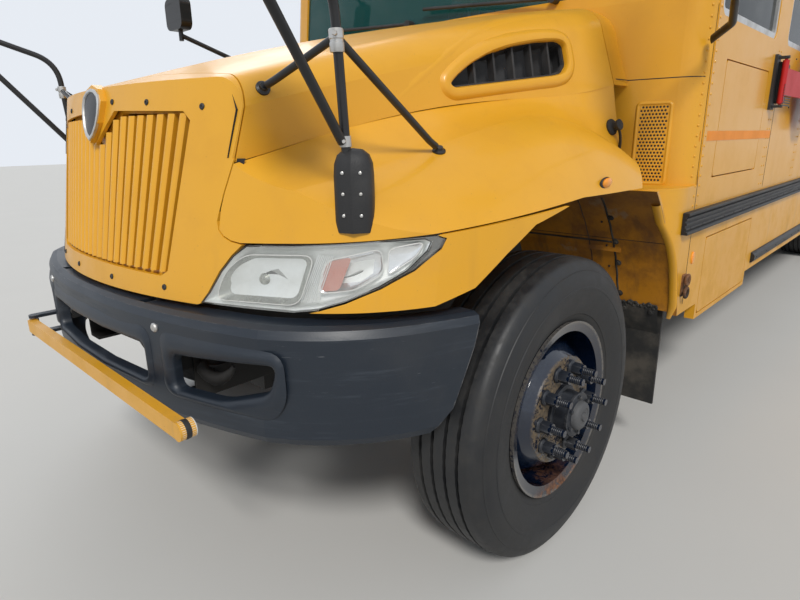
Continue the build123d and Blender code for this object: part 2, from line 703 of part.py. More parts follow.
def rear_axle():
    """Banjo axle housing with its leaf springs, and the drive shaft."""
    x = REAR_AXLE_X
    housing = tube_along_y(75, x, (-872, 872), HUB_Z) + Pos(x, 0, HUB_Z) * Sphere(215)
    housing = housing + tube_along_x(90, (x, x + 330), 0, HUB_Z)
    for side in (1, -1):
        spring = leaf_pack(x, side * 500 - 45, 720, 90, 690, 60)
        pad = block((x - 100, x + 100), sorted((side * 440, side * 560)), (560, 640))
        housing = housing + spring + pad
    shaft = tube_along_x(55, (REAR_AXLE_X + 340, ahead(-1360)), 0, 600)
    shaft = shaft + tube_along_x(78, (ahead(-3400), ahead(-3300)), 0, 600)
    keep("rear_axle", housing, shaft)


def underbody():
    """Engine and gearbox block, exhaust and fuel tank."""
    engine = block((ahead(-520), ahead(550)), (-300, 300), (700, 1330))
    sump = block((ahead(-300), ahead(300)), (-170, 170), (590, 700))
    gearbox = block((ahead(-1350), ahead(-520)), (-230, 230), (640, 1000 - FLOOR_THICK - 70))
    radiator = block((ahead(645), ahead(745)), (-380, 380), (905, 1330))
    keep("engine", engine + sump + gearbox, radiator)
    muffler = tube_along_x(98, (ahead(-3950), ahead(-2600)), 245, 636)
    pipe = tube_along_x(40, (ahead(-10060), ahead(-560)), 270, 636)
    keep("exhaust", muffler + pipe)
    tank = rounded_block((ahead(-3900), ahead(-2400)), (-1130, -520), (480, 880), 80, Axis.X)
    straps = [block((ahead(x) - 30, ahead(x) + 30), (-1140, -505), (470, 900)) for x in (-2700, -3600)]
    cage = [strap - block((ahead(-4000), ahead(-2300)), (-1130, -520), (480, 880)) for strap in straps]
    keep("fuel_tank", tank + cage)


def tyre(y):
    """Tyre body on the wheel's axis at one offset, tread towards the ground."""
    half = TYRE_W / 2
    bead = RIM_R + 2
    points = [(bead, -88), (RIM_FLANGE_R + 6, -104), (TYRE_R - 110, -half)]
    points += [(TYRE_R - 18, -half + 22), (TYRE_R, -half + 44)]
    outer = Polyline(*[(0, y + w, r) for r, w in points], (0, y + half - 44, TYRE_R),
                     *[(0, y - w, r) for r, w in reversed(points[:-1])], close=True)
    return Pos(0, 0, 0) * revolve(make_face(outer), Axis.Y, 360)


def rim_barrel(y):
    """Rim with a flange at each edge."""
    half = RIM_W / 2
    rim = [(RIM_FLANGE_R, -half - 12), (RIM_FLANGE_R, -half), (RIM_R - 2, -half), (RIM_R - 2, half),
           (RIM_FLANGE_R, half), (RIM_FLANGE_R, half + 12), (RIM_R - 22, half + 2), (RIM_R - 22, -half - 2)]
    return revolve(make_face(Polyline(*[(0, y + w, r) for r, w in rim], close=True)), Axis.Y, 360)


def wheel_disc(y, side, face_w, rim_w):
    """Dished disc from the rim to the flat that the studs hold."""
    rise = face_w - rim_w
    front = [(RIM_R - 14, rim_w), (258, rim_w + rise * 0.12), (205, face_w - rise * 0.25)]
    front += [(180, face_w), (84, face_w)]
    back = [(r, w - DISC_THICK) for r, w in reversed(front)]
    profile = Polyline(*[(0, y + side * w, r) for r, w in front + back], close=True)
    disc = revolve(make_face(profile), Axis.Y, 360)
    for turn in HAND_HOLE_TURNS:
        hole = Pos(0, y, 0) * Rotation(0, turn, 0) * Pos(232, 0, 0) * Rotation(90, 0, 0) * Cylinder(28, 500)
        disc = disc - hole
    return disc


def stud_ring(y, side, tip):
    """Ten studs with their nuts, standing out from the disc."""
    studs = []
    for index in range(STUDS):
        angle = 2 * pi * index / STUDS
        x, z = STUD_CIRCLE_R * cos(angle), STUD_CIRCLE_R * sin(angle)
        studs.append(tube_along_y(18, x, (y - side * 2, y + side * (tip - 42)), z))
        studs.append(tube_along_y(11, x, (y, y + side * tip), z))
    return studs


def front_wheel(side):
    """Front wheel: the disc bulges out and carries the hub and drum."""
    y = side * FRONT_WHEEL_Y
    face = y + side * FRONT_FACE
    hub = tube_along_y(84.5, 0, (y - side * 45, face + side * 6), 0)
    cap = tube_along_y(62, 0, (face, face + side * 58), 0)
    drum = tube_along_y(205, 0, (y - side * 52, y + side * 20), 0)
    body = rim_barrel(y) + wheel_disc(y, side, FRONT_FACE, -20)
    return body + stud_ring(face, side, STUD_REACH) + [hub, cap, drum]


def rear_wheels(side):
    """Twin rear wheels on one hub, the outer disc dished inward."""
    y = side * REAR_OUTER_Y
    inner_y = side * (REAR_OUTER_Y - TWIN_SPACING)
    face = y - side * 30
    body = rim_barrel(y) + wheel_disc(y, side, -30, 40)
    web = annulus_along_y(264, 92, (inner_y + side * 100, inner_y + side * 133), 0)
    drum = tube_along_y(205, 0, (inner_y + side * 133, y - side * 60), 0)
    hub = tube_along_y(84.5, 0, (y - side * 62, face + side * 90), 0)
    return body + stud_ring(face, side, STUD_REACH) + [rim_barrel(inner_y), web, drum, hub]


def wheels():
    """Front wheels, and twin wheels behind, with their tyres."""
    for side, label in ((1, "left"), (-1, "right")):
        front = Pos(ahead(0), 0, HUB_Z)
        keep(f"tyre_front_{label}", front * tyre(side * FRONT_WHEEL_Y))
        keep(f"wheel_front_{label}", front * front_wheel(side))
        rear = Pos(REAR_AXLE_X, 0, HUB_Z)
        outer_y, inner_y = side * REAR_OUTER_Y, side * (REAR_OUTER_Y - TWIN_SPACING)
        keep(f"tyres_rear_{label}", rear * tyre(outer_y), rear * tyre(inner_y))
        keep(f"wheels_rear_{label}", rear * rear_wheels(side))


def knuckles():
    """Steering knuckles on the kingpins."""
    for side, label in ((1, "left"), (-1, "right")):
        jaw_y = sorted((side * 842, side * 958))
        jaws = [block((ahead(-50), ahead(50)), jaw_y, z) for z in ((402, 426), (584, 608))]
        spindle = tube_along_y(40, ahead(0), (side * 955, side * 966), HUB_Z)
        plate = block((ahead(-60), ahead(60)), sorted((side * 954, side * 962)), (410, 600))
        arm = block((ahead(-240), ahead(-40)), sorted((side * 846, side * 866)), (405, 425))
        keep(f"knuckle_{label}", jaws[0] + jaws[1] + plate + spindle + arm)


def bay_pitch():
    """Length of one side window's bay."""
    return (BAY_START - (REAR_WALL_X - ahead(0) + REAR_WALL_THICK)) / BAYS


def window_outlines(driver):
    """Corners (x, z) of one side's windows, the driver's with a slanted front."""
    z0, z1 = WINDOW_Z
    foot, rear, head = DRIVER_WINDOW
    outlines = [shifted([(rear, z0), (foot, z0), (head, z1), (rear, z1)])] if driver else []
    pitch = bay_pitch()
    for index in range(BAYS):
        x0 = BAY_START - index * pitch - WINDOW_POST / 2
        x1 = x0 - pitch + WINDOW_POST
        outlines.append(shifted([(x1, z0), (x0, z0), (x0, z1), (x1, z1)]))
    return outlines


def window_prism(outline, grow, y, radius):
    """Rounded prism across one wall on a window's outline."""
    solid = side_plate(grown(outline, grow), *y)
    return fillet(solid.edges().filter_by(Axis.Y), radius)


def window_openings(side, driver):
    """Prisms through one side wall, one for each window."""
    y = sorted((side * (BODY_HALF + 30), side * (BODY_HALF - WALL - 30)))
    return [window_prism(outline, 0, y, WINDOW_CORNER_R) for outline in window_outlines(driver)]


def side_walls():
    """Side walls from skirt to eave, each as thick as the whole wall."""
    rear, front = REAR_WALL_X + REAR_WALL_THICK, ahead(COWL_REAR)
    arch = tube_along_y(REAR_ARCH_R, REAR_AXLE_X, (-1400, 1400), HUB_Z)
    for side, label in ((1, "left"), (-1, "right")):
        y = sorted((side * BODY_HALF, side * (BODY_HALF - WALL)))
        wall = block((rear, front), y, (SKIRT_Z, EAVE_Z))
        cuts = window_openings(side, driver=side > 0)
        recess_y = sorted((side * (BODY_HALF + 10), side * (BODY_HALF - SKIN_DOOR_THICK - DOOR_GAP)))
        if side > 0:
            cuts.append(recess(BATTERY_DOOR, recess_y))
            cuts.append(recess(ELECTRICAL_DOOR, recess_y))
        else:
            cuts.append(recess(FUEL_DOOR, recess_y))
            doorway_x = (ahead(ENTRY[0] - 8), ahead(ENTRY[1] + 8))
            doorway = block(doorway_x, sorted((side * 1300, side * 1100)), (300, ENTRY_Z[1] + 8))
            cuts.append(doorway)
        pillar = side_plate(
            shifted([(COWL_REAR, COWL_TOP_Z), (COWL_REAR + 20, EAVE_Z + 9),
                     (PILLAR_TOP, EAVE_Z + 9), (PILLAR_TOP, EAVE_Z)]),
            -1400, 1400)
        wall = wall - arch - cuts - pillar
        if side > 0:
            (x0, x1), (z0, z1) = BATTERY_DOOR
            sill = block((ahead(x0) - 30, ahead(x1) + 30), y, (z0 - 24, z0 - DOOR_GAP))
            wall = wall + sill
            for x in (ahead(x0) - 30, ahead(x1) + DOOR_GAP):
                wall = wall + block((x, x + 25), y, (z0 - 24, SKIRT_Z))
            backing = block((ahead(x0) - 30, ahead(x1) + 30), (y[0], y[0] + 13), (z0 - 24, SKIRT_Z))
            wall = wall + backing
        keep(f"side_{label}", wall)


def recess(door, y):
    """Pocket in a wall for a flush door, with a gap all round."""
    (x0, x1), (z0, z1) = door
    return block((ahead(x0) - DOOR_GAP, ahead(x1) + DOOR_GAP), y, (z0 - DOOR_GAP, z1 + DOOR_GAP))


def skin_doors():
    """Flush hinged doors of the battery, the electrics and the filler."""
    doors = (
        ("battery_door", BATTERY_DOOR, 1), ("electrical_door", ELECTRICAL_DOOR, 1), ("fuel_door", FUEL_DOOR, -1)
    )
    for name, door, side in doors:
        (x0, x1), z = door
        y = sorted((side * BODY_HALF, side * (BODY_HALF - SKIN_DOOR_THICK)))
        keep(name, rounded_block((ahead(x0), ahead(x1)), y, z, 18, Axis.Y))


def roof():
    """Bowed roof skin with two hatch curbs."""
    rear, front = REAR_WALL_X + REAR_WALL_THICK, ahead(CAP_REAR)
    skin = body_solid(rear, front, 0, EAVE_Z) - body_solid(rear - 10, front + 10, 34, EAVE_Z)
    for x in HATCHES:
        curb_z = (ROOF_TOP_Z - 90, HATCH_CURB_Z)
        curb = block((x - HATCH_HALF, x + HATCH_HALF), (-HATCH_HALF, HATCH_HALF), curb_z)
        skin = skin + curb
        hole = HATCH_HALF - 30
        skin = skin - block((x - hole, x + hole), (-hole, hole), (ROOF_TOP_Z - 200, ROOF_TOP_Z + 100))
    keep("roof", skin)


def hatches():
    """Roof hatch lids over their curbs."""
    for x, label in zip(HATCHES, ("front", "rear")):
        half = HATCH_HALF + 12
        lid = block((x - half, x + half), (-half, half), (HATCH_CURB_Z + 5, HATCH_CURB_Z + HATCH_THICK))
        lid = chamfer(lid.edges().group_by(Axis.Z)[-1], 18)
        barrel = tube_along_y(9, x - half - 10, (-200, 200), HATCH_CURB_Z + 14)
        arm = block((x - half - 10, x - half + 10), (-200, 200), (HATCH_CURB_Z + 6, HATCH_CURB_Z + 22))
        keep(f"hatch_{label}", lid + barrel + arm)


def front_cap():
    """Windshield frame with its pillars and the header above."""
    rear = ahead(CAP_REAR)
    outer = leaning_column(COWL_TOP_Z, ROOF_TOP_Z + 60)
    inner = leaning_column(COWL_TOP_Z - 20, ROOF_TOP_Z + 80, WALL)
    outer = outer & body_solid(rear, ahead(-500), 0, COWL_TOP_Z)
    inner = inner & body_solid(rear - 20, ahead(-500), 36, COWL_TOP_Z - 10)
    shell = outer - inner
    behind = side_plate(
        shifted([(CAP_REAR - 50, COWL_TOP_Z), (COWL_REAR, COWL_TOP_Z),
                 (PILLAR_TOP, EAVE_Z), (CAP_REAR - 50, EAVE_Z)]),
        -1400, 1400)
    shell = shell - behind
    shell = shell - rounded_block((ahead(-1050), ahead(-500)), (-GLASS_HALF, GLASS_HALF), GLASS_Z, 70, Axis.X)
    visor = side_plate(shifted(VISOR_EDGE), -1100, 1100)
    visor = visor & body_solid(ahead(-1000), ahead(-700), 0, COWL_TOP_Z)
    cap = shell + (visor - inner)
    keep("front_cap", cap.solids().sort_by(SortBy.VOLUME)[-1])


def windshield():
    """Curved glass in the front cap's opening."""
    outer = leaning_column(COWL_TOP_Z, ROOF_TOP_Z, 12)
    inner = leaning_column(COWL_TOP_Z - 20, ROOF_TOP_Z + 20, 20)
    pane = (outer - inner) & rounded_block(
        (ahead(-1050), ahead(-500)), (-GLASS_HALF + 1, GLASS_HALF - 1),
        (GLASS_Z[0] + 1, GLASS_Z[1] - 1), 69, Axis.X)
    keep("windshield", pane)


def window_sashes():
    """Sash frames of the side windows, and all fixed panes."""
    frames, panes = [], []
    middle_z = (WINDOW_Z[0] + WINDOW_Z[1]) / 2
    bar = (middle_z - SASH_BAR / 2, middle_z + SASH_BAR / 2)
    for side in (1, -1):
        y = sorted((side * (BODY_HALF - 4), side * (BODY_HALF - WALL + 4)))
        through = (y[0] - 5, y[1] + 5)
        pane_y = sorted((side * (BODY_HALF - 17), side * (BODY_HALF - 22)))
        for outline in window_outlines(driver=side > 0):
            xs = [x for x, z in outline]
            above = block((min(xs) - 9, max(xs) + 9), (y[0] - 9, y[1] + 9), (bar[1], WINDOW_Z[1]))
            below = block((min(xs) - 9, max(xs) + 9), (y[0] - 9, y[1] + 9), (WINDOW_Z[0], bar[0]))
            outer = window_prism(outline, -1, y, WINDOW_CORNER_R - 1)
            inner = window_prism(outline, -SASH_FACE, through, 20)
            frames.append(outer - (inner & above) - (inner & below))
            pane = window_prism(outline, -SASH_FACE - 0.5, pane_y, 19)
            panes.extend([pane & above, pane & below])
    keep("window_frames", *frames)
    keep("window_glass", *panes, *rear_glass())


def cowl():
    """Cowl: firewall, rounded corners, wheel flares and splash panels."""
    upper = front_column(1180, COWL_TOP_Z, COWL_FRONT, -1800)
    upper = upper - front_column(0, COWL_TOP_Z - 24, COWL_FRONT, -1900, WALL)
    lower = front_column(SKIRT_Z, 1180, FLARE_FRONT, -1800, 0, FLARE_CORNER_R)
    lower = lower - front_column(0, 1164, FLARE_FRONT, -1900, 30, FLARE_CORNER_R)
    arch = tube_along_y(ARCH_R, ahead(ARCH_X), (-1400, 1400), ARCH_Z)
    lower = lower - arch
    firewall_x = ahead(COWL_FRONT) - 20
    firewall = block((firewall_x - WALL, firewall_x), (-1000, 1000), (FLOOR_Z - 90, 1190))
    splash = tube_along_y(ARCH_R + 14, ahead(ARCH_X), (-1190, 1190), ARCH_Z) - arch
    splash_x = (ahead(-830), ahead(-480))
    splash_left = splash & block(splash_x, (SPLASH_INNER_Y, 1189), (640, 1179))
    splash_right = splash & block(splash_x, (-1189, -SPLASH_INNER_Y), (640, 1179))
    body = upper + [lower, firewall, splash_left, splash_right]
    body = body - block((ahead(-1950), ahead(COWL_REAR)), (-1400, 1400), (0, 2000))
    body = body - block((ahead(-2000), ahead(COWL_REAR) + 60), (-1180, 1180), (0, 1164))
    body = body - block((ahead(-829), ahead(-480)), (-SPLASH_INNER_Y, SPLASH_INNER_Y), (1160, 1181))
    length = COLLAR_FRONT - COLLAR_REAR
    collar = extrude(hood_collar(0), length, dir=(1, 0, 0)) - extrude(hood_collar(26), length, dir=(1, 0, 0))
    collar = collar - front_column(1180, COWL_TOP_Z + 60, COWL_FRONT, -1800)
    collar = collar.solids().sort_by(SortBy.VOLUME)[-1]
    keep("cowl", body + collar)


def hood_collar(inset):
    """Face of the cowl's collar under the hood's rear edge."""
    station = (COLLAR_REAR, *HOOD_STATIONS[-1][1:])
    return hood_section(station, inset)


def rear_wall():
    """Rear wall with the doorway and the windows beside it."""
    wall = body_solid(REAR_WALL_X, REAR_WALL_X + REAR_WALL_THICK, 0, SKIRT_Z)
    wall = chamfer(wall.edges().group_by(Axis.X)[0], 18)
    doorway = block(
        (REAR_WALL_X - 50, REAR_WALL_X + 200), (-REAR_DOOR_HALF - 6, REAR_DOOR_HALF + 6),
        (REAR_DOOR_Z[0] - 6, REAR_DOOR_Z[1] + 6))
    wall = wall - doorway
    for side in (1, -1):
        y = sorted((side * 520, side * 1080))
        wall = wall - rounded_block((REAR_WALL_X - 50, REAR_WALL_X + 200), y, (1790, 2400), 60, Axis.X)
    keep("rear_wall", wall)


def rear_glass():
    """Panes of the rear wall."""
    panes = []
    for side in (1, -1):
        y = sorted((side * 521, side * 1079))
        panes.append(rounded_block((REAR_WALL_X + 18, REAR_WALL_X + 26), y, (1791, 2399), 59, Axis.X))
    return panes


def rear_door():
    """Rear emergency door with two window openings."""
    y = (-REAR_DOOR_HALF, REAR_DOOR_HALF)
    door = block((REAR_WALL_X + 2, REAR_WALL_X + 42), y, REAR_DOOR_Z)
    for z in ((1120, 1560), (1790, 2400)):
        door = door - rounded_block((REAR_WALL_X - 50, REAR_WALL_X + 200), (-290, 290), z, 60, Axis.X)
    panes = [rounded_block((REAR_WALL_X + 18, REAR_WALL_X + 26), (-289, 289), (z0 + 1, z1 - 1), 59, Axis.X)
             for z0, z1 in ((1120, 1560), (1790, 2400))]
    keep("rear_door", door, *panes)


def floor():
    """Deck on cross sills, with wheel housings and the entry steps."""
    rear, front = REAR_WALL_X + REAR_WALL_THICK, ahead(COWL_FRONT) - WALL - 20
    half = BODY_HALF - WALL
    deck = block((rear, front), (-half, half), (FLOOR_Z - FLOOR_THICK, FLOOR_Z))
    sills = []
    pitch = 700
    x = rear + 40
    while x < ahead(-1900):
        if abs(x - REAR_AXLE_X) > 680:
            sills.append(block((x, x + 50), (-1150, 1150), (FLOOR_Z - 100, FLOOR_Z - FLOOR_THICK)))
        else:
            sills.append(block((x, x + 50), (-560, 560), (FLOOR_Z - 100, FLOOR_Z - FLOOR_THICK)))
        x += pitch
    body = deck + sills
    for side in (1, -1):
        y = sorted((side * 565, side * half))
        well_x = (REAR_AXLE_X - 640, REAR_AXLE_X + 640)
        inner_y = sorted((side * 585, side * (half + 1)))
        body = body + block(well_x, y, (FLOOR_Z - 1, 1150))
        body = body - block((well_x[0] + 20, well_x[1] - 20), inner_y, (FLOOR_Z - 120, 1130))
    (x0, x1) = (ahead(ENTRY[0]), ahead(ENTRY[1]))
    body = body - block((x0, x1), (-1200, -560), (FLOOR_Z - 120, FLOOR_Z + 5))
    steps = block((x0 - 20, x1 + 20), (-half, -540), (STEP_Z[0] - 20, FLOOR_Z - FLOOR_THICK))
    treads = ((-1300, -960, STEP_Z[0]), (-1300, -760, STEP_Z[1]), (-1300, -560, STEP_Z[2]))
    for y0, y1, z in treads:
        steps = steps - block((x0, x1), (y0, y1), (z, FLOOR_Z + 10))
    keep("floor", body + steps)


def entry_doors():
    """Two leaves of the entry door, each a frame round its tall pane."""
    middle = (ENTRY[0] + ENTRY[1]) / 2
    y = (-BODY_HALF, -BODY_HALF + ENTRY_LEAF_THICK)
    for label, (x0, x1) in (("rear", (ENTRY[0], middle - 4)), ("front", (middle + 4, ENTRY[1]))):
        leaf = block((ahead(x0), ahead(x1)), y, ENTRY_Z)
        holes = [rounded_block((ahead(x0) + 55, ahead(x1) - 55), (y[0] - 50, y[1] + 50), z, 50, Axis.Y)
                 for z in ((500, 1180), (1260, 2300))]
        pane_y = (y[0] + 12, y[0] + 18)
        panes = [rounded_block((ahead(x0) + 56, ahead(x1) - 56), pane_y, (z0 + 1, z1 - 1), 49, Axis.Y)
                 for z0, z1 in ((500, 1180), (1260, 2300))]
        keep(f"entry_door_{label}", leaf - holes, *panes)


def rub_rails():
    """Ribbed rails along both sides."""
    rails = []
    for side in (1, -1):
        for z0, z1, start, reach in RUB_RAILS:
            spans = [(start, REAR_WALL_X - ahead(0))]
            if side < 0:
                spans = [(min(start, ENTRY[0] - 30), spans[0][1])]
            if z1 < 900:
                arch_front = REAR_AXLE_X - ahead(0) + REAR_ARCH_R + 60
                arch_rear = REAR_AXLE_X - ahead(0) - REAR_ARCH_R - 60
                spans = [(spans[0][0], arch_front), (arch_rear, spans[0][1])]
            if z1 < 900 and side < 0:
                spans = [(spans[0][0], FUEL_DOOR[0][1] + 30), (FUEL_DOOR[0][0] - 30, spans[0][1]), spans[1]]
            for x0, x1 in spans:
                y = sorted((side * BODY_HALF, side * (BODY_HALF + reach)))
                rails.append(block((ahead(x1), ahead(x0)), y, (z0, z1)))
    keep("rub_rails", *rails)


def rear_bumper():
    """Channel bumper round the rear end."""
    outer = rounded_block((REAR_X, REAR_X + 150), (-BODY_HALF + 5, BODY_HALF - 5), REAR_BUMPER_Z, 60, Axis.Z)
    inner_z = (REAR_BUMPER_Z[0] + 9, REAR_BUMPER_Z[1] - 9)
    inner = block((REAR_X + 8, REAR_X + 200), (-BODY_HALF + 14, BODY_HALF - 14), inner_z)
    arm_x = (REAR_X + 6, ahead(RAIL_SPAN[1]))
    arms = [block(arm_x, sorted((side * 400, side * 360)), (500, 645)) for side in (1, -1)]
    keep("rear_bumper", (outer - inner) + arms)


def mirrors():
    """Crossview mirrors on the fenders and driver's mirrors on the pillars."""
    foot, top = (ahead(700), 880, 1345), (ahead(692), 892, 1720)
    base = rounded_block((ahead(660), ahead(735)), (845, 925), (1165, 1345), 20, Axis.Z)
    base = base - (fender_form() & envelope(900, 1700))
    upper = bent_tube([foot, top, (ahead(980), 985, 1800)], 60, 11)
    lower = bent_tube([(ahead(705), 885, 1350), (ahead(1000), 963, 1717)], 0, 11)
    strut_front = bent_tube([(ahead(692), 890, 1590), (ahead(695), 632, 1520)], 0, 9)
    strut_rear = bent_tube([(ahead(692), 890, 1590), (ahead(338), 900, 1362)], 0, 9)
    head = Pos(ahead(985), 1000, 1815) * Rotation(0, 90, 0) * Cylinder(130, 60)
    left = base + [upper, lower, strut_front, strut_rear, head]
    left = left - hood_form() - (fender_form() & envelope(900, 1700))
    left = left.solids().sort_by(SortBy.VOLUME)[-1]
    keep("crossview_mirrors", left, other_side(left))

    post_x, post_y = ahead(MIRROR_POST[0]), MIRROR_POST[1]
    low_route = [(ahead(-787), 1205, 1690), (ahead(-700), 1300, 1730), (post_x, post_y, 1960)]
    high_route = [(ahead(-850), 1205, 2575), (ahead(-740), 1300, 2570), (post_x, post_y, 2440)]
    arm_low, arm_high = bent_tube(low_route, 40, 13), bent_tube(high_route, 40, 13)
    post = bent_tube([(post_x, post_y, 1930), (post_x, post_y, 2470)], 0, 13)
    flat = rounded_block((post_x - 30, post_x + 36), (post_y - 90, post_y + 90), (2170, 2440), 20, Axis.X)
    convex = rounded_block((post_x - 30, post_x + 36), (post_y - 90, post_y + 90), (1985, 2150), 40, Axis.X)
    left = arm_low + [arm_high, post, flat, convex]
    left = left - block((ahead(-2000), ahead(-500)), (0, BODY_HALF), (1000, 3000))
    left = left.solids().sort_by(SortBy.VOLUME)[-1]
    keep("driver_mirrors", left, other_side(left))


def front_face_x(y, z):
    """Where the leaning, bowed front of the body lies."""
    lean = WINDSHIELD_LEAN * max(z - COWL_TOP_Z, 0)
    return ahead(COWL_FRONT) - lean - (FRONT_BOW_R - sqrt(FRONT_BOW_R**2 - y**2))


def wipers():
    """Two wiper arms parked along the foot of the windshield."""
    arms = []
    for y0, y1 in ((640, -40), (-120, -800)):
        start = (front_face_x(y0, WIPER_Z) + 38, y0, WIPER_Z)
        end = (front_face_x(y1, 1960) + 18, y1, 1960)
        pivot = tube_along_x(18, (front_face_x(y0, WIPER_Z) + 4, front_face_x(y0, WIPER_Z) + 46), y0, WIPER_Z)
        arms.append(pivot + bent_tube([start, end], 0, 8))
    keep("wipers", *arms)


def lamps():
    """Warning lamps on the caps, marker lamps and tail lamps."""
    lamps = []
    for side in (1, -1):
        for y in (560, 820):
            lamps.append(tube_along_x(90, (ahead(-750), ahead(-722)), side * y, 2825))
            lamps.append(tube_along_x(90, (REAR_WALL_X - 20, REAR_WALL_X), side * y, 2660))
        lamps.append(tube_along_x(90, (REAR_WALL_X - 20, REAR_WALL_X), side * 1000, 1250))
        lamps.append(tube_along_x(90, (REAR_WALL_X - 20, REAR_WALL_X), side * 780, 1250))
    keep("lamps", *lamps)


def seats():
    """Bench seats in two columns, and their frames."""
    frames = []
    for side, label in ((1, "left"), (-1, "right")):
        pads = []
        y = sorted((side * SEAT_Y[0], side * SEAT_Y[1]))
        for row in range(SEAT_ROWS):
            x = ahead(SEAT_FIRST - row * SEAT_PITCH)
            pads.append(rounded_block((x, x + SEAT_DEPTH), y, (SEAT_Z - 120, SEAT_Z), 30, Axis.Y))
            low, high = SEAT_Z - 60, SEAT_Z + 600
            back = side_plate([(x - 8, low), (x - 128, high), (x - 188, high), (x - 98, low)], *y)
            pads.append(back)
            leg_y = sorted((side * 260, side * 288))
            legs = [block((x + dx, x + dx + 28), leg_y, (FLOOR_Z, SEAT_Z - 120)) for dx in (20, 340)]
            rail = block((x, x + SEAT_DEPTH), sorted((side * 255, side * 295)), (SEAT_Z - 135, SEAT_Z - 120))
            shelf = block((x + 20, x + 60), sorted((side * 255, side * 1179)), (SEAT_Z - 150, SEAT_Z - 120))
            frames.append(rail + legs + shelf)
        keep(f"seat_pads_{label}", *pads)
    keep("seat_frames", *frames)


def driver_place():
    """Driver's seat, dashboard and steering wheel."""
    pad = rounded_block((ahead(-1760), ahead(-1330)), (330, 830), (1370, 1480), 30, Axis.Y)
    back = side_plate(shifted([(-1762, 1450), (-1830, 2120), (-1910, 2120), (-1862, 1450)]), 340, 820)
    pedestal = block((ahead(-1700), ahead(-1400)), (420, 740), (FLOOR_Z, 1370))
    keep("driver_seat", pad + pedestal, back)
    dash_edge = [(-800, 1250), (-800, 1800), (-900, 1790), (-1050, 1640), (-1000, 1250)]
    dash = side_plate(shifted(dash_edge), -620, 1100)
    column_dir = Plane(origin=(ahead(-1180), 580, 1660), z_dir=(-0.5, 0, 0.87))
    column = column_dir * Pos(0, 0, -170) * Cylinder(32, 290)
    keep("dashboard", dash + column)
    rim = column_dir * Torus(225, 14)
    spoke = Pos(110, 0, 0) * Box(220, 26, 12)
    spokes = [column_dir * Rotation(0, 0, turn) * spoke for turn in (90, 210, 330)]
    boss = column_dir * Cylinder(50, 44)
    keep("steering_wheel", rim + spokes + boss)


def stop_arm():
    """Octagonal blade folded back along the left side, on a hinge box."""
    hinge_x, hinge_y = ahead(STOP_HINGE[0]), STOP_HINGE[1]
    box = rounded_block((hinge_x - 170, hinge_x - 20), (BODY_HALF, BODY_HALF + 30), (1510, 1700), 12, Axis.X)
    plate = block((hinge_x - 40, hinge_x + 30), (BODY_HALF, BODY_HALF + 12), (1480, 1730))
    lugs = []
    for z in ((1488, 1500), (1710, 1722)):
        lugs.append(block((hinge_x - 14, hinge_x + 14), (BODY_HALF + 6, hinge_y), z))
        lugs.append(Pos(hinge_x, hinge_y, sum(z) / 2) * Cylinder(14, z[1] - z[0]))
    keep("stop_arm_box", box + [plate, *lugs])
    rod = block((hinge_x - 320, hinge_x), (hinge_y - 6, hinge_y + 14), (STOP_Z - 60, STOP_Z + 60))
    barrel = Pos(hinge_x, hinge_y, STOP_Z) * Cylinder(14, 196)
    pin = Pos(hinge_x, hinge_y, STOP_Z) * Cylinder(7, 208)
    blade_centre = (hinge_x - 700, hinge_y + 8, STOP_Z + 10)
    blade_plane = Plane(origin=blade_centre, x_dir=(1, 0, 0), z_dir=(0, 1, 0))
    blade = RegularPolygon(BLADE_FLAT, 8, major_radius=False, rotation=22.5)
    octagon = extrude(blade_plane * blade, 4, both=True)
    lamp_y = (hinge_y - 16, hinge_y + 34)
    lamps = [tube_along_y(50, hinge_x - 700, lamp_y, STOP_Z + 10 + dz) for dz in (150, -150)]
    arm = block((hinge_x - 520, hinge_x - 300), (hinge_y + 2, hinge_y + 14), (STOP_Z - 60, STOP_Z + 60))
    keep("stop_arm", rod + [barrel, pin, octagon, arm, *lamps])


def mud_flaps():
    """Flaps behind the front and rear wheels."""
    flaps = []
    for side in (1, -1):
        y = sorted((side * 870, side * 1155))
        flaps.append(block((ahead(-812), ahead(-800)), y, (235, 690)))
        y = sorted((side * 640, side * 1170))
        flaps.append(block((REAR_AXLE_X - 640, REAR_AXLE_X - 630), y, (250, FLOOR_Z - 100)))
    keep("mud_flaps", *flaps)


def main():
    """Make every sub-part and write one file for each."""
    makers = (
        chassis_frame, front_axle, rear_axle, underbody, wheels, knuckles, front_bumper,
        crossing_gate, rear_bumper, floor, cowl, front_cap, windshield, side_walls, skin_doors, roof,
        hatches, rear_wall, rear_door, window_sashes, entry_doors, rub_rails, hood_panels, hood_vents,
        grille, headlamps, mirrors, wipers, lamps, seats, driver_place, stop_arm, mud_flaps
    )
    for make in makers:
        make()
    os.makedirs("parts", exist_ok=True)
    for name, shape in nodes.items():
        export_step(shape, f"parts/{name}.step")


main()
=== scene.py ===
from math import asin, cos, exp, pi, radians, sin, sqrt

import bmesh
import bpy
from mathutils import Matrix, Vector
from mathutils.bvhtree import BVHTree


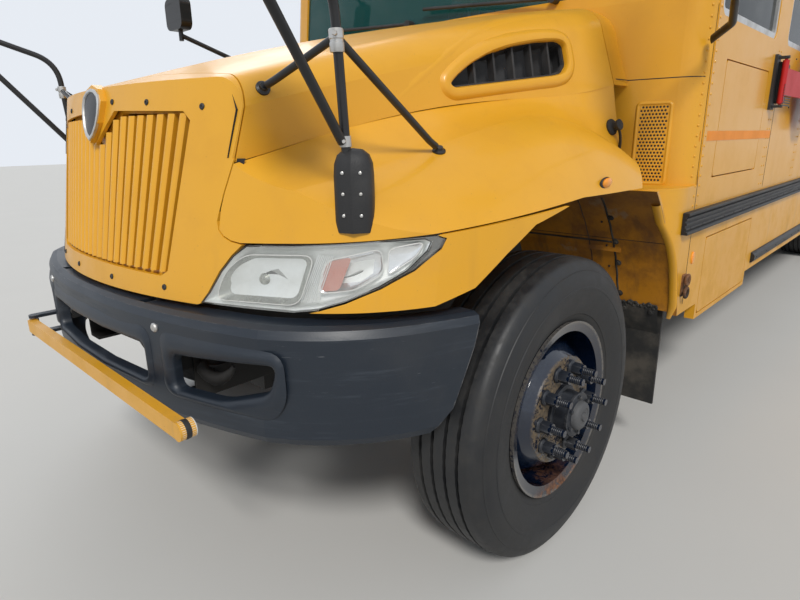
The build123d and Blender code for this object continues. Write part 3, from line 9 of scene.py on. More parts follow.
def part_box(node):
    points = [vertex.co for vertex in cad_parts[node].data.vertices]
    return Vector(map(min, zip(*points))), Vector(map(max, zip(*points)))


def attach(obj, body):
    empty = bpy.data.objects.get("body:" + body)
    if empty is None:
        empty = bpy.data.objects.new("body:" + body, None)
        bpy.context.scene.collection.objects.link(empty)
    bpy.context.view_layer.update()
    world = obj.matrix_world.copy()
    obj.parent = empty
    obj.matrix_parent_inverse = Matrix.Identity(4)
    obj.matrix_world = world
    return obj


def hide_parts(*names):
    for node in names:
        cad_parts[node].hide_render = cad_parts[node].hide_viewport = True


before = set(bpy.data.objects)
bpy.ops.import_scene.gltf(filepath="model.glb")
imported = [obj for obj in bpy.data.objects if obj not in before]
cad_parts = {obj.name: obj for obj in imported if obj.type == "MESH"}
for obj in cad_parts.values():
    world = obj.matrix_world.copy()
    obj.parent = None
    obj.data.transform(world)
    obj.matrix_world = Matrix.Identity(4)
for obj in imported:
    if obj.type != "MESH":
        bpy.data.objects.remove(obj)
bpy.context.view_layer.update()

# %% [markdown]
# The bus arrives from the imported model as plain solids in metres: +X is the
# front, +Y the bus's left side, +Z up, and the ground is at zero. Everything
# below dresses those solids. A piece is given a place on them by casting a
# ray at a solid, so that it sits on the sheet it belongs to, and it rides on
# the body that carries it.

AXLE = 4.606
REAR_AXLE = -1.846


# %% [markdown]
# The camera stands where the photographer stood, ahead of the left front
# wheel and at chest height, looking back along the bus. A wide lens, 25.5 mm
# on a 36 mm sensor, gives the strong perspective on the bumper's corner. The
# turn of the head, the tilt down and a slight roll are three angles, and the
# camera's axes are worked out from them.

# %% Camera
EYE = Vector((1.5927 + AXLE, 1.9207, 1.3755))
YAW, PITCH, ROLL, LENS = 0.7617, 0.2796, -0.0147, 25.506
look = Vector((-cos(YAW) * cos(PITCH), -sin(YAW) * cos(PITCH), -sin(PITCH)))
flat_right = look.cross(Vector((0, 0, 1))).normalized()
flat_up = flat_right.cross(look)
right = cos(ROLL) * flat_right + sin(ROLL) * flat_up
up = cos(ROLL) * flat_up - sin(ROLL) * flat_right
camera = bpy.data.objects.new("Camera", bpy.data.cameras.new("Camera"))
camera.data.lens = LENS
camera.data.sensor_width = 36.0
camera.data.clip_end = 200.0
camera.matrix_world = Matrix((right, up, -look)).transposed().to_4x4()
camera.location = EYE
bpy.context.scene.collection.objects.link(camera)
bpy.context.scene.camera = camera
bpy.context.scene.view_settings.view_transform = "Standard"
print("camera at", [round(v, 3) for v in camera.location], "lens", LENS)


# %% [markdown]
# Each finish is a small network of nodes. Two classes keep that readable. A
# Wire is one output of a node, and arithmetic on it adds Math nodes, so dust
# can be written as 1 - mask * 0.5. A Finish is one material with a Principled
# shader, and its method add places any other node: first its settings, then
# the values or wires of its sockets.

# %% Wires and finishes
class Wire:
    """One output socket that can be used in sums."""

    def __init__(self, finish, socket):
        self.finish = finish
        self.socket = socket

    def math(self, operation, first, second=None, clamp=False):
        values = {0: first} if second is None else {0: first, 1: second}
        return self.finish.add("ShaderNodeMath", {"operation": operation, "use_clamp": clamp}, values)

    def __add__(self, other):
        return self.math("ADD", self, other)

    def __sub__(self, other):
        return self.math("SUBTRACT", self, other)

    def __mul__(self, other):
        return self.math("MULTIPLY", self, other)

    def __truediv__(self, other):
        return self.math("DIVIDE", self, other)

    def __pow__(self, other):
        return self.math("POWER", self, other)

    def __gt__(self, other):
        return self.math("GREATER_THAN", self, other)

    def __lt__(self, other):
        return self.math("LESS_THAN", self, other)

    def __radd__(self, other):
        return self.math("ADD", other, self)

    def __rsub__(self, other):
        return self.math("SUBTRACT", other, self)

    def __rmul__(self, other):
        return self.math("MULTIPLY", other, self)

    def __rtruediv__(self, other):
        return self.math("DIVIDE", other, self)

    def held(self):
        """The value kept between 0 and 1."""
        return self.math("ADD", self, 0.0, clamp=True)

    def step(self, low, high):
        """0 below low, 1 above high, and a smooth rise between."""
        return self.finish.add("ShaderNodeMapRange", {"interpolation_type": "SMOOTHSTEP"},
                               {0: self, 1: low, 2: high, 3: 0.0, 4: 1.0})

    def wave(self, pitch):
        """Distance from the nearest multiple of pitch, from 0 to 1."""
        return self.math("PINGPONG", self / pitch, 0.5) * 2.0


class Finish:
    """A material with a Principled shader and whatever feeds it."""

    def __init__(self, name, **constants):
        self.material = bpy.data.materials.new(name)
        self.material.use_nodes = True
        self.tree = self.material.node_tree
        self.tree.nodes.clear()
        self.output = self.tree.nodes.new("ShaderNodeOutputMaterial")
        self.shader = self.tree.nodes.new("ShaderNodeBsdfPrincipled")
        self.tree.links.new(self.shader.outputs[0], self.output.inputs["Surface"])
        for socket, value in constants.items():
            self.shader.inputs[socket.replace("_", " ")].default_value = value
        self.place = self.add("ShaderNodeTexCoord", {}, {}, "Object")

    def plug(self, socket, value):
        if isinstance(value, Wire):
            self.tree.links.new(value.socket, socket)
        elif hasattr(socket.default_value,
                     "__len__") and len(value) == 3 and len(socket.default_value) == 4:
            socket.default_value = (*value, 1.0)
        else:
            socket.default_value = value

    def add(self, kind, settings, sockets, out=0):
        node = self.tree.nodes.new(kind)
        stops = settings.pop("stops", None)
        for name, value in settings.items():
            setattr(node, name, value)
        for index, (position, colour) in enumerate(stops or []):
            element = node.color_ramp.elements[index] if index < 2 else node.color_ramp.elements.new(position)
            element.position = position
            element.color = (*colour, 1.0)
        for name, value in sockets.items():
            self.plug(node.inputs[name], value)
        return Wire(self, node.outputs[out])

    def set(self, **sockets):
        """Feed the shader's own sockets."""
        for name, value in sockets.items():
            self.plug(self.shader.inputs[name.replace("_", " ")], value)

    def noise(self, scale, detail=3.0, rough=0.5, stretch=None):
        """Cloudy value near 0.5, stretched along an axis if asked."""
        place = self.stretched(stretch) if stretch else self.place
        return self.add("ShaderNodeTexNoise", {},
                        {"Vector": place, "Scale": scale, "Detail": detail, "Roughness": rough})

    def cells(self, scale, feature="F1", out=0, stretch=None):
        place = self.stretched(stretch) if stretch else self.place
        return self.add("ShaderNodeTexVoronoi", {"feature": feature}, {"Vector": place, "Scale": scale},
                        out)

    def stretched(self, factors):
        return self.add("ShaderNodeVectorMath", {"operation": "MULTIPLY"}, {0: self.place, 1: factors})

    def axes(self):
        """The three coordinates of the point being shaded."""
        split = self.add("ShaderNodeSeparateXYZ", {}, {0: self.place})
        return [Wire(self, split.socket.node.outputs[i]) for i in range(3)]

    def mix(self, share, first, second):
        """Blend from one colour to another by a share from 0 to 1."""
        return self.add("ShaderNodeMix", {"data_type": "RGBA"}, {0: share, 6: first, 7: second}, 2)

    def bump(self, height, distance, strength=1.0):
        bumped = self.add("ShaderNodeBump", {}, {"Strength": strength, "Distance": distance,
                                                 "Height": height})
        self.plug(self.shader.inputs["Normal"], bumped)

    def edges(self, radius):
        """Near 1 on sharp outer edges, where paint wears first."""
        bevel = self.add("ShaderNodeBevel", {"samples": 4}, {"Radius": radius})
        normal = self.add("ShaderNodeNewGeometry", {}, {}, "Normal")
        dot = self.add("ShaderNodeVectorMath", {"operation": "DOT_PRODUCT"}, {0: bevel, 1: normal}, "Value")
        return 1.0 - dot


# %% [markdown]
# Bus yellow is a thick orange-yellow enamel. In the sun it has faded unevenly
# and gone a little chalky on top, road dust has settled on every low panel,
# and rain has left faint streaks down the sides. The colour starts as one
# enamel, is faded by broad noise, greyed by dust that grows towards the
# ground, and broken by small dark specks and chips.

# %% Yellow enamel
def yellow_enamel(name, dirt=1.0, colour=(0.70, 0.335, 0.010), black_below=0.0, arch_brown=False):
    finish = Finish(name, IOR=1.5, Coat_Roughness=0.12)
    x, _, z = finish.axes()
    fade = finish.noise(0.9, 4.0, 0.6)
    mottle = finish.noise(7.0, 5.0, 0.62)
    streak = finish.noise(9.0, 4.0, 0.6, stretch=(1.0, 1.0, 0.09))
    speck = finish.noise(160.0, 2.0, 0.5)
    low = 1.0 - z.step(0.5, 1.35)
    enamel = finish.mix(fade.step(0.35, 0.68), colour,
                        (colour[0] * 1.05, colour[1] * 1.08, colour[2] * 2.0))
    enamel = finish.mix(mottle.step(0.45, 0.75) * 0.22, enamel,
                        (colour[0] * 0.86, colour[1] * 0.80, colour[2]))
    dust = (0.06 + low * 0.55) * mottle.step(0.38, 0.72) * dirt
    enamel = finish.mix(dust.held() * 0.5, enamel, (0.42, 0.31, 0.17))
    grime = streak.step(0.56, 0.78) * (0.16 + low * 0.5) * dirt
    enamel = finish.mix(grime.held() * 0.55, enamel, (0.20, 0.12, 0.05))
    chips = speck.step(0.735, 0.755) * (0.35 + low * 0.65)
    enamel = finish.mix(chips.held() * 0.8, enamel, (0.11, 0.07, 0.04))
    if arch_brown:
        away = ((x - (AXLE + 0.120)) ** 2.0 + (z - 0.507) ** 2.0) ** 0.5
        inside = 1.0 - away.step(0.9065, 0.9085)
        stain = finish.noise(6.0, 6.0, 0.7)
        arch_paint_and_shade = finish.mix(stain.step(0.40, 0.66), (0.50, 0.205, 0.012), (0.27, 0.105, 0.012))
        arch_paint_and_shade = finish.mix(streak.step(0.50, 0.66) * 0.6, arch_paint_and_shade, (0.13, 0.060, 0.022))
        arch_paint_and_shade = finish.mix(mottle.step(0.63, 0.70) * 0.55, arch_paint_and_shade, (0.36, 0.27, 0.17))
        # Towards the top of the arch panel, under the fender, the brown is darkened: painted shade.
        arch_paint_and_shade = finish.mix(z.step(0.95, 1.16) * 0.45, arch_paint_and_shade, (0.070, 0.035, 0.014))
        enamel = finish.mix(inside.held(), enamel, arch_paint_and_shade)
    if black_below:
        enamel = finish.mix(1.0 - z.step(black_below, black_below + 0.003), enamel, (0.014, 0.014, 0.015))
    finish.set(Base_Color=enamel, Roughness=(0.34 + dust * 0.55 + mottle * 0.12).held(),
               Coat_Weight=(0.22 - dust * 0.4).held())
    finish.bump(finish.noise(46.0, 3.0, 0.5) * 0.5 + mottle * 0.5 + chips * -0.3, 0.0012, 0.5)
    return finish.material


bus_yellow = yellow_enamel("bus_yellow")
cowl_yellow = yellow_enamel("cowl_yellow", arch_brown=True)
hood_yellow = yellow_enamel("hood_yellow", dirt=0.7, colour=(0.72, 0.350, 0.010))
nose_yellow = yellow_enamel("nose_yellow", dirt=0.7, colour=(0.72, 0.350, 0.010), black_below=0.93)
print("yellow enamels ready")


# %% [markdown]
# The bumper is black enamel over steel, matt where it has been rubbed. Long
# fine scratches run along it, the lower half is greyed by stone dust, and the
# edges have gone pale. The scratches are noise squeezed in one direction,
# kept only where it is strongest. On the bumper and the wheel nuts the black
# is tinted blue and the scuffed streaks are pale blue: painted sky sheen as
# well as wear.

# %% Black enamels
def black_enamel(name, gloss=0.36, scratch=1.0, base=(0.010, 0.013, 0.019), rub=(0.075, 0.085, 0.100),
                 dusty=0.35):
    finish = Finish(name, IOR=1.5)
    _, _, z = finish.axes()
    broad = finish.noise(3.2, 5.0, 0.6)
    scuffs_and_sheen = finish.noise(5.0, 6.0, 0.72, stretch=(0.7, 0.7, 9.0))
    cuts = finish.noise(26.0, 5.0, 0.75, stretch=(0.25, 0.25, 3.2))
    grit = finish.noise(240.0, 2.0, 0.5)
    low = 1.0 - z.step(0.3, 0.9)
    worn = finish.edges(0.006).step(0.03, 0.30) * finish.noise(30.0, 3.0, 0.6).step(0.40, 0.62)
    # The rub colour on the scuffed streaks is wear, and on the bumper and the nuts it is also painted bluish
    # sheen.
    colour = finish.mix(scuffs_and_sheen.step(0.52, 0.80) * 0.5 * scratch, base, rub)
    colour = finish.mix(cuts.step(0.66, 0.74) * 0.75 * scratch, colour, (0.24, 0.25, 0.27))
    colour = finish.mix((broad.step(0.46, 0.78) * (0.15 + low * dusty)).held(), colour,
                        (0.085, 0.082, 0.078))
    colour = finish.mix(worn.held() * 0.7 * scratch, colour, (0.25, 0.24, 0.23))
    finish.set(Base_Color=colour, Roughness=(gloss + broad * 0.18 + scuffs_and_sheen.step(0.5, 0.8) * 0.22).held())
    finish.bump(grit * 0.5 + cuts * -0.8, 0.0006, 0.5)
    return finish.material


# The bumper's bluish base and pale bluish rub colour are partly painted sky sheen, partly scuffed paint.
bumper_black = black_enamel("bumper_black", 0.33, 1.0, (0.010, 0.016, 0.026), (0.058, 0.072, 0.092))
chassis_black = black_enamel("chassis_black", 0.6, 0.3, (0.018, 0.017, 0.016), (0.06, 0.05, 0.04), 0.9)
door_black = black_enamel("door_black", 0.32, 0.3)
trim_black = black_enamel("trim_black", 0.42, 0.35, (0.012, 0.012, 0.013), (0.05, 0.05, 0.052), 0.4)
tube_black = black_enamel("tube_black", 0.26, 0.25, (0.010, 0.010, 0.011), (0.05, 0.05, 0.052), 0.2)
print("black enamels ready")


# %% [markdown]
# Tyre rubber is nearly black where it is scrubbed by the road and brown-grey
# where dust stays, in the grooves and round the sidewall's rings. It needs no
# gloss, but the shoulder shines a little. The dust follows the distance from
# the wheel's axis, which is worked out from the point's own coordinates.

# %% Rubber, and the round measure used by wheels
def wheel_radius(finish, axle_x):
    """Distance of the shaded point from a wheel's axis."""
    x, _, z = finish.axes()
    across = (x - axle_x) ** 2.0
    return (across + (z - 0.505) ** 2.0) ** 0.5


def tyre_rubber(name, axle_x):
    finish = Finish(name, IOR=1.5)
    far = wheel_radius(finish, axle_x)
    cloud = finish.noise(6.0, 5.0, 0.65)
    grain = finish.noise(190.0, 3.0, 0.6)
    scrub = finish.noise(22.0, 5.0, 0.7)
    shoulder = far.step(0.455, 0.497)
    bead = 1.0 - far.step(0.315, 0.36)
    dust = (cloud.step(0.40, 0.70) * 0.55 + bead * 0.35 + shoulder * scrub.step(0.42, 0.70) * 0.5).held()
    colour = finish.mix(dust * 0.45, (0.011, 0.012, 0.014), (0.060, 0.056, 0.050))
    colour = finish.mix(scrub.step(0.68, 0.80) * 0.35, colour, (0.11, 0.105, 0.10))
    finish.set(Base_Color=colour, Roughness=(0.52 + dust * 0.4 - shoulder * 0.06).held())
    finish.bump(grain * 0.4 + scrub * 0.3 + far.wave(0.006) * 0.12, 0.0012, 0.5)
    return finish.material


front_rubber = tyre_rubber("front_rubber", AXLE)
rear_rubber = tyre_rubber("rear_rubber", REAR_AXLE)


def dusty_rubber(name, base=(0.016, 0.016, 0.016)):
    finish = Finish(name)
    cloud = finish.noise(8.0, 5.0, 0.6)
    grain = finish.noise(220.0, 3.0, 0.6)
    colour = finish.mix(cloud.step(0.40, 0.75) * 0.6, base, (0.12, 0.105, 0.085))
    finish.set(Base_Color=colour, Roughness=(0.62 + cloud * 0.25).held())
    finish.bump(grain, 0.0008, 0.5)
    return finish.material


flap_rubber = dusty_rubber("flap_rubber")
seal_rubber = dusty_rubber("seal_rubber", (0.010, 0.010, 0.010))
print("rubbers ready")


# %% [markdown]
# The wheel is a pressed steel disc in glossy blue-black. Its slope stays deep
# and mirror-like, the flat under the nuts is covered in tan rust and dust, and
# red rust eats only the bottom of the rim, where water lies. Each place has
# its own mask, made from the distance to the axis and the height, and noise at
# two scales breaks the mask's edge into patches and crumbs.

# %% Wheel enamel with rust, and bare rust
def wheel_enamel(name, axle_x):
    finish = Finish(name, IOR=1.5, Coat_Roughness=0.08)
    far = wheel_radius(finish, axle_x)
    _, y, z = finish.axes()
    patch = finish.noise(11.0, 6.0, 0.7)
    crumb = finish.noise(85.0, 5.0, 0.7)
    stud = ((y ** 2.0) ** 0.5).step(1.1315, 1.1330)
    flat = far.step(0.086, 0.094) * (1.0 - far.step(0.178, 0.186)) * (1.0 - stud)
    tan = (flat * (patch * 0.5 + crumb * 0.5).step(0.44, 0.56)).held()
    wet = (1.0 - z.step(0.21, 0.27)) * far.step(0.215, 0.262)
    rust = (wet * (patch + crumb * 0.4).step(0.64, 0.76)).held()
    rub = far.step(0.288, 0.2935) * crumb.step(0.30, 0.55)
    haze = (1.0 - (far - 0.205).step(0.0, 0.030)) * far.step(0.180, 0.200) * crumb.step(0.42, 0.60)
    dust = (finish.noise(5.0, 4.0, 0.6).step(0.50, 0.78) * 0.10 + haze * 0.10).held()
    paint = finish.mix(dust, (0.002, 0.007, 0.022), (0.060, 0.085, 0.115))
    paint = finish.mix(rub.held() * 0.5, paint, (0.20, 0.18, 0.15))
    paint = finish.mix(tan, paint, finish.mix(patch.step(0.4, 0.7), (0.215, 0.155, 0.085), (0.11, 0.085,
                                                                                            0.060)))
    scale = finish.mix(crumb.step(0.35, 0.7), (0.060, 0.024, 0.012), (0.26, 0.115, 0.05))
    finish.set(Base_Color=finish.mix(rust, paint, scale),
               Roughness=(0.13 + dust * 0.5 + rust * 0.62 + tan * 0.6).held(),
               Coat_Weight=(0.7 - rust - tan).held())
    finish.bump(rust * 0.7 + crumb * rust + tan * crumb * 0.6, 0.0016, 0.7)
    return finish.material


front_wheel_black = wheel_enamel("front_wheel_black", AXLE)
rear_wheel_black = wheel_enamel("rear_wheel_black", REAR_AXLE)


def rusty_iron(name, dark=(0.030, 0.020, 0.015), bright=(0.22, 0.10, 0.045)):
    finish = Finish(name)
    patch = finish.noise(14.0, 6.0, 0.7)
    crumb = finish.noise(120.0, 5.0, 0.65)
    colour = finish.mix(patch.step(0.35, 0.65), dark, bright)
    colour = finish.mix(crumb.step(0.55, 0.8) * 0.6, colour, (0.30, 0.17, 0.09))
    finish.set(Base_Color=colour, Roughness=(0.68 + crumb * 0.25).held())
    finish.bump(crumb + patch * 0.5, 0.0015, 0.7)
    return finish.material


rusty = rusty_iron("rusty_iron")
# The nuts' pale bluish streaks are painted highlights as well as scuffs.
nut_black = black_enamel("nut_black", 0.34, 0.8, (0.010, 0.013, 0.020), (0.085, 0.095, 0.11), 0.25)
block_iron = rusty_iron("block_iron", (0.03, 0.028, 0.026), (0.10, 0.07, 0.05))
print("wheel finishes ready")


# %% [markdown]
# Glass here is thin flat panes. A refracting shader would need closed blocks
# and would darken the saloon, so each pane is a dark tinted surface that is
# mostly see-through, and turns more solid at a grazing angle as real glass
# does. Fresnel gives that change with angle.

# %% Glass and lenses
def pane_glass(name, tint=(0.010, 0.045, 0.045), clear=0.30, haze=0.0):
    finish = Finish(name, IOR=1.52)
    fresnel = finish.add("ShaderNodeFresnel", {}, {"IOR": 1.5})
    film = finish.noise(5.0, 5.0, 0.65).step(0.45, 0.8)
    alpha = clear + fresnel * (1.0 - clear) + film * haze
    colour = finish.mix(film * haze * 3.0, tint, (0.45, 0.45, 0.42))
    finish.set(Base_Color=colour, Alpha=alpha.held(), Roughness=(0.02 + film * 0.12).held())
    return finish.material


side_glass = pane_glass("side_glass", (0.012, 0.022, 0.024), 0.38, 0.05)
shield_glass = pane_glass("shield_glass", (0.02, 0.12, 0.12), 0.42, 0.04)


def lens_plastic(name, colour, clear, rough=0.12, dots=0.010, haze=(0.75, 0.76, 0.74)):
    """Clear or coloured moulded lens with a fine pattern inside."""
    finish = Finish(name, IOR=1.49, Coat_Weight=0.5)
    cloud = finish.noise(9.0, 5.0, 0.6).step(0.40, 0.75)
    _, y, z = finish.axes()
    ribs = y.wave(dots) * z.wave(dots)
    tone = finish.mix(cloud * 0.35, colour, haze)
    finish.set(Base_Color=tone, Alpha=(clear + cloud * 0.12).held(), Roughness=(rough + cloud * 0.2).held())
    finish.bump(ribs, 0.0008, 0.4)
    return finish.material


clear_lens = lens_plastic("clear_lens", (0.80, 0.83, 0.82), 0.22, 0.08, 0.5)
amber_lens = lens_plastic("amber_lens", (0.90, 0.30, 0.01), 1.0, 0.12, 0.010, (0.90, 0.42, 0.06))
orange_cell = lens_plastic("orange_cell", (0.42, 0.085, 0.040), 1.0, 0.25, 0.006, (0.55, 0.24, 0.15))
red_lens = lens_plastic("red_lens", (0.55, 0.008, 0.006), 1.0, 0.15, 0.010, (0.5, 0.10, 0.08))
print("glass and lenses ready")


# %% [markdown]
# The remaining finishes are plainer: bright metal for reflectors and sashes,
# moulded plastics, floor rubber, seat vinyl and the sheets of the signs. Each
# still varies in colour and gloss, because a surface with one value
# everywhere looks like a drawing.

# %% Metals, plastics, cloth and sheet
def bright_metal(name, colour=(0.62, 0.63, 0.64), rough=0.28, tarnish=0.5, brushed=(1.0, 1.0, 1.0)):
    finish = Finish(name)
    cloud = finish.noise(12.0, 5.0, 0.6)
    grain = finish.noise(60.0, 4.0, 0.6, stretch=brushed)
    dull = cloud.step(0.42, 0.74) * tarnish
    tone = finish.mix(dull, colour, (colour[0] * 0.55, colour[1] * 0.53, colour[2] * 0.50))
    finish.set(Base_Color=tone, Metallic=(1.0 - dull * 0.5).held(),
               Roughness=(rough + dull * 0.4 + grain * 0.1).held())
    finish.bump(grain, 0.0004, 0.4)
    return finish.material


def moulded(name, colour, rough=0.5, grain_size=260.0, dust=0.4, relief=0.0007, haze=0.08):
    finish = Finish(name)
    cloud = finish.noise(6.0, 5.0, 0.6)
    grain = finish.cells(grain_size)
    pale = tuple(0.6 * c + haze for c in colour)
    tone = finish.mix(cloud.step(0.42, 0.75) * dust, colour, pale)
    finish.set(Base_Color=tone, Roughness=(rough + cloud * 0.2).held())
    finish.bump(grain, relief, 0.6)
    return finish.material


def seat_cover(name, colour):
    """Coated fabric: a leather-like grain, shiny where it is sat on."""
    finish = Finish(name, Sheen_Weight=0.15)
    cloud = finish.noise(4.0, 5.0, 0.6)
    grain = finish.cells(210.0, "DISTANCE_TO_EDGE")
    worn = cloud.step(0.45, 0.72)
    tone = finish.mix(worn * 0.5, colour, tuple(c * 1.7 + 0.01 for c in colour))
    finish.set(Base_Color=tone, Roughness=(0.46 + worn * 0.2 - grain.step(0.0, 0.1) * 0.06).held())
    finish.bump(grain.step(0.0, 0.12) + cloud * 0.6, 0.0012, 0.6)
    return finish.material


def woven_cloth(name, colour):
    finish = Finish(name, Sheen_Weight=0.4)
    x, y, z = finish.axes()
    warp = (x + y * 0.35).wave(0.0032)
    weft = (z + y * 0.45).wave(0.0032)
    cloud = finish.noise(5.0, 4.0, 0.6)
    tone = finish.mix((warp * weft).held(), tuple(c * 0.6 for c in colour), tuple(c * 1.4 for c in colour))
    tone = finish.mix(cloud.step(0.5, 0.8) * 0.4, tone, tuple(c * 0.5 + 0.06 for c in colour))
    finish.set(Base_Color=tone, Roughness=(0.82 + cloud * 0.1).held())
    finish.bump(warp * 0.5 + weft * 0.5, 0.0009, 0.7)
    return finish.material


sash_metal = bright_metal("sash_metal", (0.60, 0.60, 0.59), 0.36, 0.5)
reflector_metal = bright_metal("reflector_metal", (0.86, 0.87, 0.88), 0.10, 0.25)
smoked_metal = bright_metal("smoked_metal", (0.36, 0.37, 0.33), 0.16, 0.35)
lamp_shell = bright_metal("lamp_shell", (0.80, 0.82, 0.80), 0.42, 0.25)
clamp_steel = bright_metal("clamp_steel", (0.58, 0.57, 0.55), 0.32, 0.6)
mirror_face = bright_metal("mirror_face", (0.80, 0.82, 0.84), 0.03, 0.04)
pipe_steel = bright_metal("pipe_steel", (0.36, 0.29, 0.24), 0.5, 0.9)
black_plastic = moulded("black_plastic", (0.016, 0.016, 0.017), 0.48)
grey_plastic = moulded("grey_plastic", (0.075, 0.077, 0.082), 0.55)
hatch_white = moulded("hatch_white", (0.62, 0.62, 0.58), 0.5, 120.0, 0.5)
sheet_white = moulded("sheet_white", (0.72, 0.72, 0.70), 0.4, 320.0, 0.3, 0.0003)
sheet_red = moulded("sheet_red", (0.46, 0.006, 0.009), 0.45, 320.0, 0.3, 0.0003, 0.01)
tape_orange = moulded("tape_orange", (0.85, 0.27, 0.006), 0.45, 320.0, 0.3, 0.0003, 0.0)
badge_dark = moulded("badge_dark", (0.020, 0.022, 0.026), 0.30, 320.0, 0.3, 0.0003, 0.03)
floor_black = moulded("floor_black", (0.035, 0.035, 0.037), 0.6, 90.0, 0.6, 0.0015)
seat_blue = seat_cover("seat_blue", (0.030, 0.040, 0.070))
seat_grey = woven_cloth("seat_grey", (0.060, 0.062, 0.070))
steel_grey = moulded("steel_grey", (0.055, 0.056, 0.060), 0.42, 400.0, 0.5, 0.0003)
print("materials", len(bpy.data.materials))


# %% [markdown]
# The solids come first. Each carried-over node takes its finish in its own
# material slots.

# %% Finishes of the solids
FINISH_OF = {
    "chassis_frame": chassis_black, "front_axle": chassis_black, "rear_axle": chassis_black,
    "engine": block_iron, "exhaust": pipe_steel, "fuel_tank": chassis_black,
    "wheel_front_left": front_wheel_black, "wheel_front_right": front_wheel_black,
    "wheels_rear_left": rear_wheel_black, "wheels_rear_right": rear_wheel_black,
    "tyre_front_left": front_rubber, "tyre_front_right": front_rubber,
    "tyres_rear_left": rear_rubber, "tyres_rear_right": rear_rubber,
    "knuckle_left": rusty, "knuckle_right": rusty,
    "front_bumper": bumper_black, "rear_bumper": bumper_black, "crossing_gate": hood_yellow,
    "floor": floor_black, "windshield": shield_glass, "window_glass": side_glass,
    "hatch_front": hatch_white, "hatch_rear": hatch_white, "window_frames": sash_metal,
    "entry_door_front": door_black, "entry_door_rear": door_black, "rub_rails": trim_black,
    "hood_vents": black_plastic, "crossview_mirrors": tube_black, "driver_mirrors": tube_black,
    "wipers": black_plastic, "lamps": red_lens, "seat_pads_left": seat_blue, "seat_pads_right": seat_blue,
    "seat_frames": steel_grey, "driver_seat": seat_grey, "dashboard": grey_plastic,
    "steering_wheel": black_plastic, "stop_arm_box": black_plastic, "stop_arm": sheet_red,
    "mud_flaps": flap_rubber, "headlamps": clear_lens,
    "hood_top": hood_yellow, "nose": nose_yellow, "fender_left": hood_yellow, "fender_right": hood_yellow,
    "grille": hood_yellow, "cowl": cowl_yellow,
}
for name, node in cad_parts.items():
    node.data.materials.clear()
    node.data.materials.append(FINISH_OF.get(name, bus_yellow))
print("finished solids", len(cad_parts))


# %% [markdown]
# Most added pieces are turned, bent or cut from sheet, so one small class
# gathers their vertices and faces: boxes with broken edges, lathe-turned
# rounds, tubes along a path, and plates. Everything is placed in the bus's
# own metres at once, so an object never needs a transform of its own.

